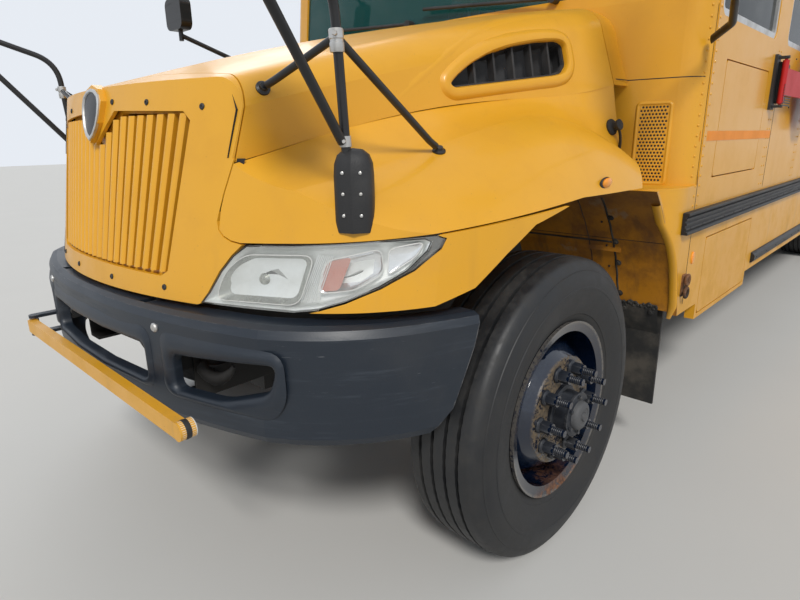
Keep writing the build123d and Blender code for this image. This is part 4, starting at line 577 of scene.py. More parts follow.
# %% Stock for the added pieces
class Stock:
    """Vertices and faces of one piece, gathered from simple shapes."""

    def __init__(self):
        self.points = []
        self.faces = []
        self.smooth = []

    def put(self, points, faces, smooth=True):
        start = len(self.points)
        self.points.extend(Vector(p) for p in points)
        self.faces.extend([start + i for i in face] for face in faces)
        self.smooth.extend([smooth] * len(faces))
        return self

    def block(self, low, high, edge=0.002, turn=None, about=(0, 0, 0)):
        """Box with broken edges, turned by a matrix about a point if asked."""
        low, high = Vector(low), Vector(high)
        edge = min(edge, *(abs(high[i] - low[i]) * 0.49 for i in range(3)))
        points, index = [], {}
        for corner in ((a, b, c) for a in (0, 1) for b in (0, 1) for c in (0, 1)):
            for axis in range(3):
                point = Vector([(low, high)[corner[i]][i] + (0 if i == axis else (edge, -edge)[corner[i]])
                                for i in range(3)])
                index[corner, axis] = len(points)
                points.append(point)
        faces = []
        for axis in range(3):
            one, two = [i for i in range(3) if i != axis]
            for side in (0, 1):
                ring = []
                for a, b in ((0, 0), (1, 0), (1, 1), (0, 1)):
                    corner = [0, 0, 0]
                    corner[axis], corner[one], corner[two] = side, a, b
                    ring.append(index[tuple(corner), axis])
                faces.append(ring)
            for a, b in ((0, 0), (1, 0), (1, 1), (0, 1)):
                low_end, high_end = [0, 0, 0], [0, 0, 0]
                low_end[one], low_end[two], high_end[one], high_end[two] = a, b, a, b
                high_end[axis] = 1
                faces.append([index[tuple(low_end), one], index[tuple(high_end), one],
                              index[tuple(high_end), two], index[tuple(low_end), two]])
        for corner in ((a, b, c) for a in (0, 1) for b in (0, 1) for c in (0, 1)):
            faces.append([index[corner, axis] for axis in range(3)])
        if turn is not None:
            pivot = Vector(about)
            points = [pivot + turn @ (p - pivot) for p in points]
        return self.put(points, faces, smooth=False)

    def turned(self, centre, axis, profile, sides=24):
        """Round piece: profile holds (distance along the axis, radius) pairs."""
        centre, axis = Vector(centre), Vector(axis).normalized()
        across = axis.orthogonal().normalized()
        third = axis.cross(across)
        points, faces = [], []
        for along, radius in profile:
            for i in range(sides):
                angle = 2 * pi * i / sides
                points.append(centre + axis * along + (across * cos(angle) + third * sin(angle)) * radius)
        for row in range(len(profile) - 1):
            for i in range(sides):
                j = (i + 1) % sides
                faces.append([row * sides + i, row * sides + j, (row + 1) * sides + j,
                              (row + 1) * sides + i])
        return self.put(points, faces)

    def tube(self, path, radius, sides=12, flat=1.0):
        """Tube along points, closed at both ends."""
        path = [Vector(p) for p in path]
        points, faces = [], []
        side = None
        for i, here in enumerate(path):
            ahead = (path[min(i + 1, len(path) - 1)] - path[max(i - 1, 0)]).normalized()
            side = (side - ahead * side.dot(ahead)).normalized() if side else ahead.orthogonal().normalized()
            rise = ahead.cross(side)
            for k in range(sides):
                angle = 2 * pi * k / sides
                points.append(here + side * cos(angle) * radius + rise * sin(angle) * radius * flat)
        for row in range(len(path) - 1):
            for k in range(sides):
                m = (k + 1) % sides
                faces.append([row * sides + k, row * sides + m, (row + 1) * sides + m,
                              (row + 1) * sides + k])
        faces.append(list(range(sides)))
        faces.append([(len(path) - 1) * sides + k for k in reversed(range(sides))])
        return self.put(points, faces)

    def bolt(self, foot, axis, size=0.010, high=0.007, washer=True, sides=6):
        """Hexagon head, crowned, on a washer."""
        if washer:
            self.turned(foot, axis, [(0, 0), (0, size * 1.55), (high * 0.22, size * 1.55), (high * 0.30,
                                                                                            size * 1.4),
                                                                                            (high * 0.30,
                                                                                             0)], 16)
        base = Vector(foot) + Vector(axis).normalized() * high * 0.3
        return self.turned(base, axis, [(0, size), (high * 0.8, size), (high, size * 0.82), (high, 0)],
                           sides)

    def dome(self, foot, axis, radius, high, sides=8):
        """Rivet's head."""
        return self.turned(foot, axis, [(-high * 0.2, radius), (high * 0.35, radius * 0.92), (high * 0.8,
                                                                                              radius * 0.6),
                                                                                              (high, 0)],
                                                                                              sides)

    def plate(self, outline, depth):
        """Flat plate from a closed outline of points, thickened along a vector."""
        depth = Vector(depth)
        count = len(outline)
        points = [Vector(p) for p in outline] + [Vector(p) + depth for p in outline]
        faces = [list(range(count))[::-1], list(range(count, 2 * count))]
        faces += [[i, (i + 1) % count, count + (i + 1) % count, count + i] for i in range(count)]
        return self.put(points, faces, smooth=False)

    def grid(self, rows, smooth=True, closed=False):
        """Skin over rows of points, all rows alike in length."""
        wide = len(rows[0])
        faces = []
        for r in range(len(rows) - 1):
            for c in range(wide if closed else wide - 1):
                d = (c + 1) % wide
                faces.append([r * wide + c, r * wide + d, (r + 1) * wide + d, (r + 1) * wide + c])
        return self.put([p for row in rows for p in row], faces, smooth)

    def mirrored(self):
        """The same stock with a copy on the bus's other side."""
        count = len(self.points)
        self.points += [Vector((p.x, -p.y, p.z)) for p in self.points]
        self.faces += [[count + i for i in reversed(face)] for face in self.faces]
        self.smooth += list(self.smooth)
        return self


def make(name, stock, finish, body="bus", instead_of=(), crease=35.0):
    """Turn stock into a piece with a finish, riding on a body."""
    mesh = bpy.data.meshes.new(name)
    mesh.from_pydata([tuple(p) for p in stock.points], [], stock.faces)
    mesh.polygons.foreach_set("use_smooth", stock.smooth)
    tidy = bmesh.new()
    tidy.from_mesh(mesh)
    bmesh.ops.remove_doubles(tidy, verts=tidy.verts, dist=1e-6)
    bmesh.ops.dissolve_degenerate(tidy, dist=1e-6, edges=tidy.edges)
    bmesh.ops.recalc_face_normals(tidy, faces=tidy.faces)
    for edge in tidy.edges:
        if len(edge.link_faces) == 2 and edge.calc_face_angle(0.0) > radians(crease):
            edge.smooth = False
    tidy.to_mesh(mesh)
    tidy.free()
    mesh.materials.append(finish)
    piece = bpy.data.objects.new(name, mesh)
    bpy.context.scene.collection.objects.link(piece)
    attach(piece, body)
    if instead_of:
        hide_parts(*instead_of)
    return piece


# %% [markdown]
# A trim piece must sit on the sheet under it. A ray from outside finds where
# the solid's skin is and which way it faces, so a rivet or a lamp can be set
# square to it even on the curved fender.

# %% Finding the skin of a solid
trees = {}


def skin(node, start, along):
    """Where a ray meets a node's skin, and the skin's direction there."""
    if node not in trees:
        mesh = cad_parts[node].data
        trees[node] = BVHTree.FromPolygons([v.co.copy() for v in mesh.vertices],
                                           [list(p.vertices) for p in mesh.polygons])
    place, facing, _, _ = trees[node].ray_cast(Vector(start), Vector(along).normalized())
    if place is None:
        return None, None
    facing = facing.normalized()
    if facing.dot(Vector(along)) > 0:
        facing = -facing
    return place, facing


probe, _ = skin("side_left", (0, 3, 1.4), (0, -1, 0))
print("the left side's skin is at y", round(probe.y, 3))


def at(ahead, y, z):
    """A point measured from the front axle, as the drawings of the front end are."""
    return Vector((AXLE + ahead, y, z))


# %% [markdown]
# A bus tyre has plain ribs: four straight grooves round the tread, fine
# notches along each rib's edges, a square shoulder and a sidewall with a few
# moulded rings. The section below is turned round the wheel's axis, and every
# second step round the tyre the groove walls shift by a millimetre and a
# half, which gives the notched rib edges.

# %% Tyres
SIDEWALL = [(0.0895, 0.2895), (0.098, 0.2935), (0.105, 0.302), (0.1075, 0.309), (0.114, 0.322),
            (0.1165, 0.3235),
            (0.1195, 0.334), (0.1285, 0.360), (0.1345, 0.386), (0.1380, 0.405), (0.1380, 0.4065),
            (0.1392, 0.408), (0.1392, 0.4135), (0.1376, 0.415), (0.1368, 0.430), (0.1330, 0.452),
            (0.1300, 0.4575), (0.1290, 0.4650), (0.1262, 0.4665), (0.1215, 0.4800), (0.1130, 0.4925),
            (0.1050, 0.4985), (0.0960, 0.5015)]
GROOVES = (0.0660, 0.0225)
GROOVE_HALF, GROOVE_DEEP, TREAD_R = 0.0052, 0.014, 0.5045


def tyre_rows():
    """Section points (across, radius, notch) from one bead to the other."""
    half = [(w, r, 0.0) for w, r in SIDEWALL]
    for groove in GROOVES:
        crown = TREAD_R - 0.0006 * (groove / 0.1) ** 2
        half += [(groove + GROOVE_HALF, crown, 1.0), (groove + GROOVE_HALF * 0.7, crown - GROOVE_DEEP, 0.0),
                 (groove - GROOVE_HALF * 0.7, crown - GROOVE_DEEP, 0.0),
                 (groove - GROOVE_HALF, crown, -1.0)]
    return half + [(-w, r, -n) for w, r, n in reversed(half)]


def tyre(stock, centre, sides=168):
    rows = []
    for step in range(sides):
        angle = 2 * pi * step / sides
        notch = 0.0011 if step % 2 else -0.0004
        rows.append([Vector((centre[0] + cos(angle) * r, centre[1] + w + n * notch,
                             centre[2] + sin(angle) * r))
                     for w, r, n in tyre_rows()])
    return stock.grid(rows + [rows[0]])


for label, side in (("left", 1), ("right", -1)):
    front = tyre(Stock(), (AXLE, side * 1.020, 0.505))
    make(f"ribbed_tyre_front_{label}", front, front_rubber, f"front_wheel_{label}",
         [f"tyre_front_{label}"], 24)
    rear = tyre(tyre(Stock(), (REAR_AXLE, side * 1.075, 0.505)), (REAR_AXLE, side * 0.757, 0.505))
    make(f"ribbed_tyres_rear_{label}", rear, rear_rubber, f"rear_wheels_{label}",
         [f"tyres_rear_{label}"], 24)
print("tyre sections have", len(tyre_rows()), "points")


# %% [markdown]
# The wheel's solid has plain round studs. Real ones are flanged hexagon nuts
# with the stud's threaded end standing out.
# The hub is a black barrel with its own ring of small bolts round a grey cap.

# %% Wheel nuts and hubs
def nuts(stock, centre, side, face, reach):
    """Ten flanged nuts and stud ends on the disc's flat."""
    axis = Vector((0, side, 0))
    for index in range(10):
        angle = 2 * pi * index / 10
        foot = Vector((centre[0] + 0.1429 * cos(angle), face, centre[2] + 0.1429 * sin(angle)))
        stock.turned(foot, axis, [(0, 0.0255), (0.006, 0.0255), (0.010, 0.0225), (0.012, 0.0185)], 20)
        stock.turned(foot, axis, [(0.008, 0.0208), (0.040, 0.0208), (0.0455, 0.0178), (0.0475, 0.0125)], 6)
        ridge = [(0.046 + i * 0.0030,
                  0.0122 if i % 2 else 0.0108) for i in range(int((reach - 0.049) / 0.0030))]
        stock.turned(foot, axis, ridge + [(reach - 0.002, 0.0095), (reach, 0.0)], 14)
    return stock


for label, side in (("left", 1), ("right", -1)):
    middle = Vector((AXLE, side * 1.020, 0.505))
    face = side * 1.130
    body = f"front_wheel_{label}"
    make(f"wheel_nuts_front_{label}", nuts(Stock(), middle, side, face, 0.0895), nut_black, body)
    axis = (0, side, 0)
    hub = Stock().turned((AXLE, face, 0.505), axis,
                         [(0.0, 0.0848), (0.008, 0.0848), (0.011, 0.080), (0.012, 0.0735),
                                                     (0.030, 0.0715), (0.050, 0.0690), (0.0515, 0.0740),
                                                     (0.0575, 0.0740), (0.0590, 0.0715), (0.0590, 0.0)], 48)
    for index in range(6):
        angle = 2 * pi * (index + 0.5) / 6
        hub.bolt((AXLE + 0.062 * cos(angle), face + side * 0.0588, 0.505 + 0.062 * sin(angle)), axis,
                 0.0065, 0.007, False)
    make(f"hub_barrel_{label}", hub, nut_black, body)
    cap = Stock().turned((AXLE, face + side * 0.058, 0.505), axis,
                         [(0.0, 0.0480), (0.0120, 0.0470), (0.0190, 0.0430),
                                                                    (0.0225, 0.0360), (0.0235, 0.0290),
                                                                    (0.0215, 0.0270), (0.0215, 0.0150),
                                                                    (0.0270, 0.0140), (0.0280, 0.0)], 40)
    make(f"hub_cap_{label}", cap, grey_plastic, body)
    rear_face = side * 1.045
    make(f"wheel_nuts_rear_{label}", nuts(Stock(), (REAR_AXLE, 0, 0.505), side, rear_face, 0.0895),
         nut_black,
         f"rear_wheels_{label}")
    drum_end = Stock().turned((REAR_AXLE, rear_face, 0.505), axis,
                              [(0.0, 0.0848), (0.075, 0.0846), (0.0905, 0.0790), (0.0905, 0.0)], 40)
    for index in range(8):
        angle = 2 * pi * index / 8
        drum_end.bolt((REAR_AXLE + 0.066 * cos(angle), rear_face + side * 0.0905,
                       0.505 + 0.066 * sin(angle)), axis, 0.009, 0.009)
    make(f"axle_flange_{label}", drum_end, trim_black, f"rear_wheels_{label}")
print("nuts on four wheels")


# %% [markdown]
# Behind the clear lens lies a stepped bright housing. Nearest the grille is a
# wide rounded bowl with the bulb's shield in it, then a fan of fine ribs, the
# turn lamp's cell with its orange filter, and a narrow reflector at the tail.
# The bowls are grids of points pressed into the housing's surface, which
# follows the lens 25 mm behind it.

# %% Headlamp insides
def lamp_ahead(y, z):
    """How far ahead of the axle the lens is, at an offset and a height."""
    return 0.987 - 0.28 * y * y - 0.06 * y ** 6 - 0.174 * (z - 1.0)


def lamp_point(y, z, deep):
    """A point behind the lens at a height and offset on the left side."""
    return at(lamp_ahead(y, z) - deep, y, z)


def cell(stock, outline, deep, floor_deep, steps=6, power=2.0):
    """A bowl pressed inward from a rounded outline of (y, z) points."""
    middle_y = sum(p[0] for p in outline) / len(outline)
    middle_z = sum(p[1] for p in outline) / len(outline)
    rows = []
    for step in range(steps + 1):
        share = 1 - step / steps
        press = floor_deep * (1 - share ** power)
        rows.append([lamp_point(middle_y + (y - middle_y) * share, middle_z + (z - middle_z) * share,
                                deep + press)
                     for y, z in outline])
    return stock.grid(rows, closed=True)


def bend_point(here, into, out, reach, t):
    """A point of the bend round a corner, from one run to the next."""
    start, end = here + into * reach, here + out * reach
    return start * (1 - t) ** 2 + here * 2 * t * (1 - t) + end * t * t


def rounded(corners, radius, steps=5):
    """Outline through rounded corners."""
    points = []
    count = len(corners)
    for i in range(count):
        before, here, after = (Vector((*corners[(i + k) % count], 0)) for k in (-1, 0, 1))
        into = (before - here).normalized()
        out = (after - here).normalized()
        reach = min(radius, (before - here).length * 0.48, (after - here).length * 0.48)
        for step in range(steps + 1):
            t = step / steps
            point = bend_point(here, into, out, reach, t)
            points.append((point.x, point.y))
    return points


LAMP_RIM = [(0.545, 0.963), (0.567, 0.990), (0.599, 1.047), (0.633, 1.090), (0.668, 1.117), (0.786, 1.121),
            (0.897, 1.130), (1.000, 1.139),
            (1.042, 1.142), (1.053, 1.135), (1.048, 1.114), (1.018, 1.068), (0.970, 1.029), (0.910, 0.994),
            (0.850, 0.971), (0.800, 0.963)]
BOWL = rounded([(0.577, 0.972), (0.600, 1.045), (0.655, 1.094), (0.830, 1.100), (0.803, 0.975)], 0.030)
TURN = rounded([(0.842, 1.006), (0.852, 1.086), (0.963, 1.119), (0.972, 1.058), (0.920, 1.018)], 0.020)
TAIL = rounded([(0.979, 1.054), (0.976, 1.118), (1.038, 1.134), (1.026, 1.098)], 0.014)
FILTER = rounded([(0.846, 1.012), (0.853, 1.084), (0.906, 1.098), (0.886, 1.016)], 0.012)


def lamp_housing():
    """Pale backing: a sloping border round a level back."""
    stock = Stock()
    rows = []
    for share, deep in ((1.0, 0.004), (0.985, 0.006), (0.93, 0.020), (0.86, 0.026), (0.5, 0.030),
                        (0.0, 0.030)):
        middle = 0.790
        rows.append([lamp_point(middle + (y - middle) * share,
                                1.045 + (z - 1.045) * (share - (1 - share) * 0.6), deep) for y,
                                z in LAMP_RIM])
    return stock.grid(rows, closed=True)


lamp_parts = {"housing": (lamp_housing(), lamp_shell), "bowls": (Stock(), smoked_metal),
              "filter": (Stock(), orange_cell),
              "rims": (Stock(), sheet_white), "ribs": (Stock(), lamp_shell),
              "glitter": (Stock(), reflector_metal)}
for outline, deep, part in ((BOWL, 0.040, "bowls"), (TURN, 0.024, "glitter"), (TAIL, 0.012, "glitter")):
    cell(lamp_parts[part][0], outline, 0.010, deep, 8, 3.0)
    lamp_parts["rims"][0].tube([lamp_point(y, z, 0.009) for y, z in outline + outline[:1]], 0.0013, 6)
cell(lamp_parts["filter"][0], FILTER, 0.012, 0.003, 3)
for index in range(9):
    foot_y, head_y = 0.806 + index * 0.0045, 0.836 + index * 0.0040
    lamp_parts["ribs"][0].tube([lamp_point(foot_y + (head_y - foot_y) * t, 0.984 + 0.116 * t,
                                           0.011) for t in (0, 0.25, 0.5, 0.75, 1)], 0.0013, 6)
for index in range(60):
    y = 0.600 + index * 0.0042
    lamp_parts["ribs"][0].tube([lamp_point(y, 0.964, 0.006), lamp_point(y, 0.971, 0.012)], 0.0009, 4)
bulb = Stock().turned(lamp_point(0.690, 1.030, 0.046), (1, 0.25, 0),
                      [(0, 0.017), (0.012, 0.017), (0.019, 0.012), (0.021, 0.0)], 20)
lamp_parts["bulb"] = (bulb, smoked_metal)
seal = [lamp_point(y, z, -0.0005) for y, z in LAMP_RIM + LAMP_RIM[:1]]
lamp_parts["seal"] = (Stock().tube(seal, 0.0016, 6), seal_rubber)
for part, (stock, finish) in lamp_parts.items():
    make(f"headlamp_{part}", stock.mirrored(), finish, "hood")
print("headlamp parts", sorted(lamp_parts))


# %% [markdown]
# The nose carries a shield-shaped badge place in the notch over the grille.
# Here it is a bare pale plate in a raised dark rim, on the boss that the
# solid already has. Small black screws hold the grille's skin. Each is set on
# the nose by a ray from the front.

# %% Badge place and nose screws
SHIELD = [(0.0, 1.528), (0.030, 1.523), (0.056, 1.508), (0.064, 1.486), (0.061, 1.455), (0.048, 1.420),
          (0.026, 1.394), (0.0, 1.380)]
shield_rim = SHIELD + [(-y, z) for y, z in reversed(SHIELD[1:-1])]


def shield_ring(scale, lift):
    points = []
    for y, z in shield_rim:
        wide, high = y * scale, 1.456 + (z - 1.456) * scale
        points.append(at(1.003 - 0.28 * wide ** 2 - 0.174 * (high - 1.0) + lift, wide, high))
    return points


rim = Stock().grid([shield_ring(1.02, -0.004), shield_ring(1.02, 0.004), shield_ring(0.97, 0.0065),
                    shield_ring(0.90, 0.0055), shield_ring(0.87, 0.001)], closed=True)
make("badge_rim", rim, sash_metal, "hood")
face = Stock().grid([shield_ring(0.885, 0.0012), shield_ring(0.6, 0.0035), shield_ring(0.25, 0.0045),
                     shield_ring(0.01, 0.005)], closed=True)
make("badge_plate", face, badge_dark, "hood")

screws = Stock()
for y, z in ((0.113, 1.486), (0.297, 1.477), (0.511, 1.458), (0.14, 0.984), (0.403, 0.987)):
    place, facing = skin("nose", at(1.4, y, z), (-1, 0, 0))
    if place:
        screws.turned(place, facing, [(-0.001, 0.0085), (0.0025, 0.0080), (0.0040, 0.0060), (0.0040,
                                                                                             0.0030),
                                                                                             (0.0020,
                                                                                              0.0028),
                                                                                              (0.0020,
                                                                                               0.0)], 14)
make("nose_screws", screws.mirrored(), trim_black, "hood")
print("badge place and", len(screws.faces), "screw faces")


# %% [markdown]
# The bumper is held by round-headed bolts that show beside the openings, and
# by small studs along its top lip. The magnet that keeps the crossing gate
# shut is a white disc with a worn black ring.

# %% Bumper bolts and the gate's magnet
bolts = Stock()
place, facing = skin("front_bumper", at(1.4, 0.430, 0.889), (-1, 0, 0))
bolts.turned(place, facing, [(-0.001, 0.0135), (0.0030, 0.0130), (0.0065, 0.0095), (0.0080, 0.0)], 18)
for y in (0.52, 0.62, 0.70):
    place, facing = skin("front_bumper", at(0.965 - 0.28 * y * y, y, 1.2), (0, 0, -1))
    if place:
        bolts.turned(place, facing, [(-0.001, 0.0055), (0.0020, 0.0050), (0.0030, 0.0)], 10)
make("bumper_bolts", bolts.mirrored(), clamp_steel, "bus")

MAGNET_Z = 0.712
magnet = Stock().turned(at(1.060, 0.704, MAGNET_Z), (1, 0, 0),
                        [(-0.012, 0.0), (-0.012, 0.0240), (0.0255, 0.0240), (0.0285, 0.0225),
                         (0.0285, 0.0)], 28)
make("gate_magnet", magnet, sheet_white, "crossing_gate")
ring = Stock().turned(at(1.0655, 0.704, MAGNET_Z), (1, 0, 0),
                      [(-0.004, 0.0245), (0.006, 0.0252), (0.010, 0.0245)], 28)
make("gate_magnet_ring", ring, trim_black, "crossing_gate")
print("bumper bolts placed")


# %% [markdown]
# The mirrors on the fenders stand on a moulded black foot with a rounded top,
# a middle ridge and six bright screws. Two tubes rise from it, one upright
# that bends forward, and one that slants straight to the head, with two
# struts from a bright clamp to the hood and the fender. The tubes are swept
# along smooth curves, so the bend has no corners.

# %% Curves for tubes
def smooth_path(corners, bend=0.06, steps=7):
    """Straight runs joined by round bends."""
    corners = [Vector(c) for c in corners]
    path = [corners[0]]
    for before, here, after in zip(corners, corners[1:], corners[2:]):
        into, out = (before - here).normalized(), (after - here).normalized()
        reach = min(bend, (before - here).length * 0.45, (after - here).length * 0.45)
        for step in range(steps + 1):
            path.append(bend_point(here, into, out, reach, step / steps))
    return path + [corners[-1]]


# %% Fender mirrors
FOOT = at(0.676, 0.902, 0)
OUT = Vector((0.783, 0.622, 0)).normalized()
SIDEWAYS = Vector((-OUT.y, OUT.x, 0))


def foot_ring(z, half, out, inner):
    """One level of the mirror's foot, seen from above."""
    points = []
    for angle in range(0, 360, 20):
        a = radians(angle)
        c, s = cos(a), sin(a)
        square = (abs(c) ** 3.2 + abs(s) ** 3.2) ** (-1 / 3.2)
        reach = out if c > 0 else inner
        ridge = 0.006 * max(0.0, 1 - abs(s) * 3.2) if c > 0 else 0.0
        ahead_part, side_part = c * square * reach + ridge, s * square * half
        points.append(FOOT + OUT * ahead_part + SIDEWAYS * side_part + Vector((0, 0, z)))
    return points


foot = Stock().grid([foot_ring(1.160, 0.041, 0.030, 0.060), foot_ring(1.158, 0.045, 0.034, 0.062),
                     foot_ring(1.178, 0.0465, 0.036, 0.062),
                     foot_ring(1.290, 0.0465, 0.038, 0.060), foot_ring(1.318, 0.0445, 0.036, 0.057),
                     foot_ring(1.338, 0.037, 0.029, 0.046), foot_ring(1.350, 0.022, 0.016, 0.026),
                     foot_ring(1.353, 0.001, 0.001, 0.001)], closed=True)
make("fender_mirror_feet", foot.mirrored(), black_plastic, "hood")
foot_screws = Stock()
for z in (1.200, 1.250, 1.298):
    for s in (-0.021, 0.021):
        foot_screws.turned(FOOT + OUT * (0.0375 if z < 1.3 else 0.036) + SIDEWAYS * s + Vector((0, 0, z)),
                           OUT,
                           [(-0.002, 0.0042), (0.0016, 0.0038), (0.0024, 0.0022), (0.0024, 0.0)], 12)
make("fender_mirror_screws", foot_screws.mirrored(), clamp_steel, "hood")

tubes = Stock()
tubes.tube(smooth_path([at(0.694, 0.900, 1.330), at(0.716, 0.900, 1.700), at(0.965, 0.985, 1.795)], 0.08,
                       10), 0.0112, 18)
tubes.tube([at(0.706, 0.900, 1.366), at(0.985, 0.963, 1.717)], 0.0112, 18)
hood_foot, hood_facing = skin("hood_top", at(0.730, 2.0, 1.498), (0, -1, 0))
fender_foot, fender_facing = skin("fender_left", at(0.348, 0.890, 2.0), (0, 0, -1))
for end, facing in ((hood_foot, hood_facing), (fender_foot, fender_facing)):
    start = at(0.711, 0.900, 1.588)
    lean = (start - end).normalized()
    tubes.tube([start, start + (end - start) * 0.08, end + lean * 0.05,
                end + lean * 0.018 + facing * 0.004], 0.0095, 14)
    tubes.turned(end, facing, [(-0.001, 0.0190), (0.004, 0.0185), (0.007, 0.0120), (0.014, 0.0100), (0.014,
                                                                                                     0.0)],
                                                                                                     18)
make("fender_mirror_tubes", tubes.mirrored(), tube_black, "hood")

clamps = Stock()
clamps.turned(at(0.7095, 0.900, 1.556), (0.04, 0, 1),
              [(0, 0.0), (0, 0.0150), (0.003, 0.0165), (0.019, 0.0165), (0.021, 0.0150), (0.026, 0.0150),
                                                     (0.028, 0.0165), (0.046, 0.0165), (0.048, 0.0150),
                                                     (0.048, 0.0)], 22)
clamps.bolt(at(0.722, 0.910, 1.592), (0.8, 0.6, 0), 0.006, 0.008, False)
clamps.bolt(at(0.698, 0.888, 1.568), (-0.8, -0.6, 0), 0.006, 0.008, False)
clamps.turned(at(0.696, 0.900, 1.356), (0.05, 0, 1), [(0, 0.0), (0, 0.0140), (0.024, 0.0140), (0.024, 0.0)],
              18)
clamps.bolt(at(0.708, 0.910, 1.368), (0.8, 0.6, 0), 0.005, 0.007, False)
make("fender_mirror_clamps", clamps.mirrored(), clamp_steel, "hood")

HEAD = at(0.985, 1.000, 1.815)
HEAD_FACING = Vector((-0.95, -0.18, -0.24)).normalized()
shell = Stock().turned(HEAD - HEAD_FACING * 0.004, HEAD_FACING,
                       [(-0.034, 0.0), (-0.032, 0.046), (-0.022, 0.096), (-0.004, 0.124), (0.008, 0.129),
                        (0.013, 0.127), (0.011, 0.121)], 40)
make("fender_mirror_shells", shell.mirrored(), black_plastic, "hood",
     ["crossview_mirrors"])
glass = Stock().turned(HEAD - HEAD_FACING * 0.004, HEAD_FACING,
                       [(0.010, 0.122), (0.018, 0.104), (0.027, 0.070), (0.032, 0.034), (0.033, 0.0)], 40)
make("fender_mirror_glass", glass.mirrored(), mirror_face, "hood")
print("fender mirrors stand on", [round(v, 3) for v in hood_foot], [round(v, 3) for v in fender_foot])


# %% [markdown]
# Some trim follows an outline drawn on a curved skin: the raised surround of
# the hood's vent, the panel's crease, the seams. Points of the outline are
# cast onto the skin one by one, and the section is lifted along each point's
# own direction, so the trim bends with the sheet.

# %% Trim that follows a skin
def pushed(outline, amount):
    """Closed outline moved outward, point by point."""
    count = len(outline)
    area = sum(outline[i - 1][0] * outline[i][1] - outline[i][0] * outline[i - 1][1] for i in range(count))
    turn = 1 if area > 0 else -1
    moved = []
    for i in range(count):
        before, after = outline[i - 1], outline[(i + 1) % count]
        run, rise = after[0] - before[0], after[1] - before[1]
        length = sqrt(run * run + rise * rise) or 1.0
        moved.append((outline[i][0] + turn * rise / length * amount,
                      outline[i][1] - turn * run / length * amount))
    return moved


def side_ring(node, outline, section):
    """Rings over an (ahead, z) outline on the left flank of a node, one for each (grow, lift)."""
    inner, outer = pushed(outline, 0.012), pushed(outline, 0.032)
    rows = [[] for _ in section]
    for index, (near, far) in enumerate(zip(inner, outer)):
        near_place, facing = skin(node, at(near[0], 2.0, near[1]), (0, -1, 0))
        far_place, far_facing = skin(node, at(far[0], 2.0, far[1]), (0, -1, 0))
        near_place, facing = near_place or far_place, facing or far_facing
        far_place = far_place or near_place
        for row, (grow, lift) in zip(rows, section):
            ahead, z = pushed(outline, grow)[index]
            y = near_place.y + (far_place.y - near_place.y) * (grow - 0.012) / 0.020
            row.append(Vector((AXLE + ahead, y, z)) + facing * lift)
    return rows


VENT = rounded([(0.128, 1.517), (0.146, 1.530), (0.118, 1.556), (0.060, 1.595), (-0.020, 1.632),
                (-0.120, 1.661), (-0.230, 1.682), (-0.330, 1.692),
                (-0.368, 1.682), (-0.372, 1.610), (-0.345, 1.582), (-0.300, 1.570)], 0.03, 4)
surround = Stock().grid(side_ring("hood_top", VENT,
                                  [(-0.003, -0.010), (-0.003, 0.004), (0.001, 0.0105), (0.008, 0.0130),
                                   (0.020, 0.0125),
                                                     (0.029, 0.0085), (0.034, 0.0015), (0.037, -0.001)]),
                                                     closed=True)
make("vent_surrounds", surround.mirrored(), hood_yellow, "hood")

shroud_rows = side_ring("hood_top", VENT, [(-0.004, -0.012), (-0.006, -0.060)])
shroud_middle = sum(shroud_rows[1], Vector()) / len(shroud_rows[1])
shroud_rows += [[shroud_middle.lerp(point, share) for point in shroud_rows[1]] for share in (0.6, 0.2,
                                                                                             0.01)]
make("vent_shrouds", Stock().grid(shroud_rows, closed=True).mirrored(), black_plastic, "hood")

crease = Stock()
track = [(0.330, 1.478), (0.240, 1.548), (0.130, 1.624), (0.010, 1.690), (-0.120, 1.738), (-0.260, 1.770),
         (-0.400, 1.790), (-0.520, 1.800)]
rows = []
for i, (ahead, z) in enumerate(track):
    before, after = track[max(i - 1, 0)], track[min(i + 1, len(track) - 1)]
    run = Vector((after[0] - before[0], 0, after[1] - before[1])).normalized()
    across = Vector((-run.z, 0, run.x))
    fade = min(1.0, i / 2, (len(track) - 1 - i) / 2 + 0.15)
    row = []
    for w, lift in ((-0.014, -0.0006), (-0.008, 0.0012), (-0.003, 0.0034), (0.003, 0.0034), (0.008, 0.0012),
                    (0.014, -0.0006)):
        spot = at(ahead, 2.0, z) + across * w
        place, facing = skin("hood_top", spot, (0, -1, 0))
        row.append(place + facing * lift * fade)
    rows.append(row)
make("hood_creases", crease.grid(rows).mirrored(), hood_yellow, "hood")
print("vent surround and crease follow the hood")


# %% [markdown]
# Where the nose, the hood and the fender meet, each sheet turns inward in a
# flange with a rubber strip, so the seam is a thin dark line and not an open
# slot. A dark strip follows the seam just under the outer skin.

# %% Seam strips at the nose
def front_skin(y, z, sink=0.0):
    """Point on the hood's leaning, rounded front, sunk under its skin."""
    return at(0.987 - 0.28 * y * y - 0.06 * y ** 8 - 0.174 * (z - 1.0) - sink, y, z)


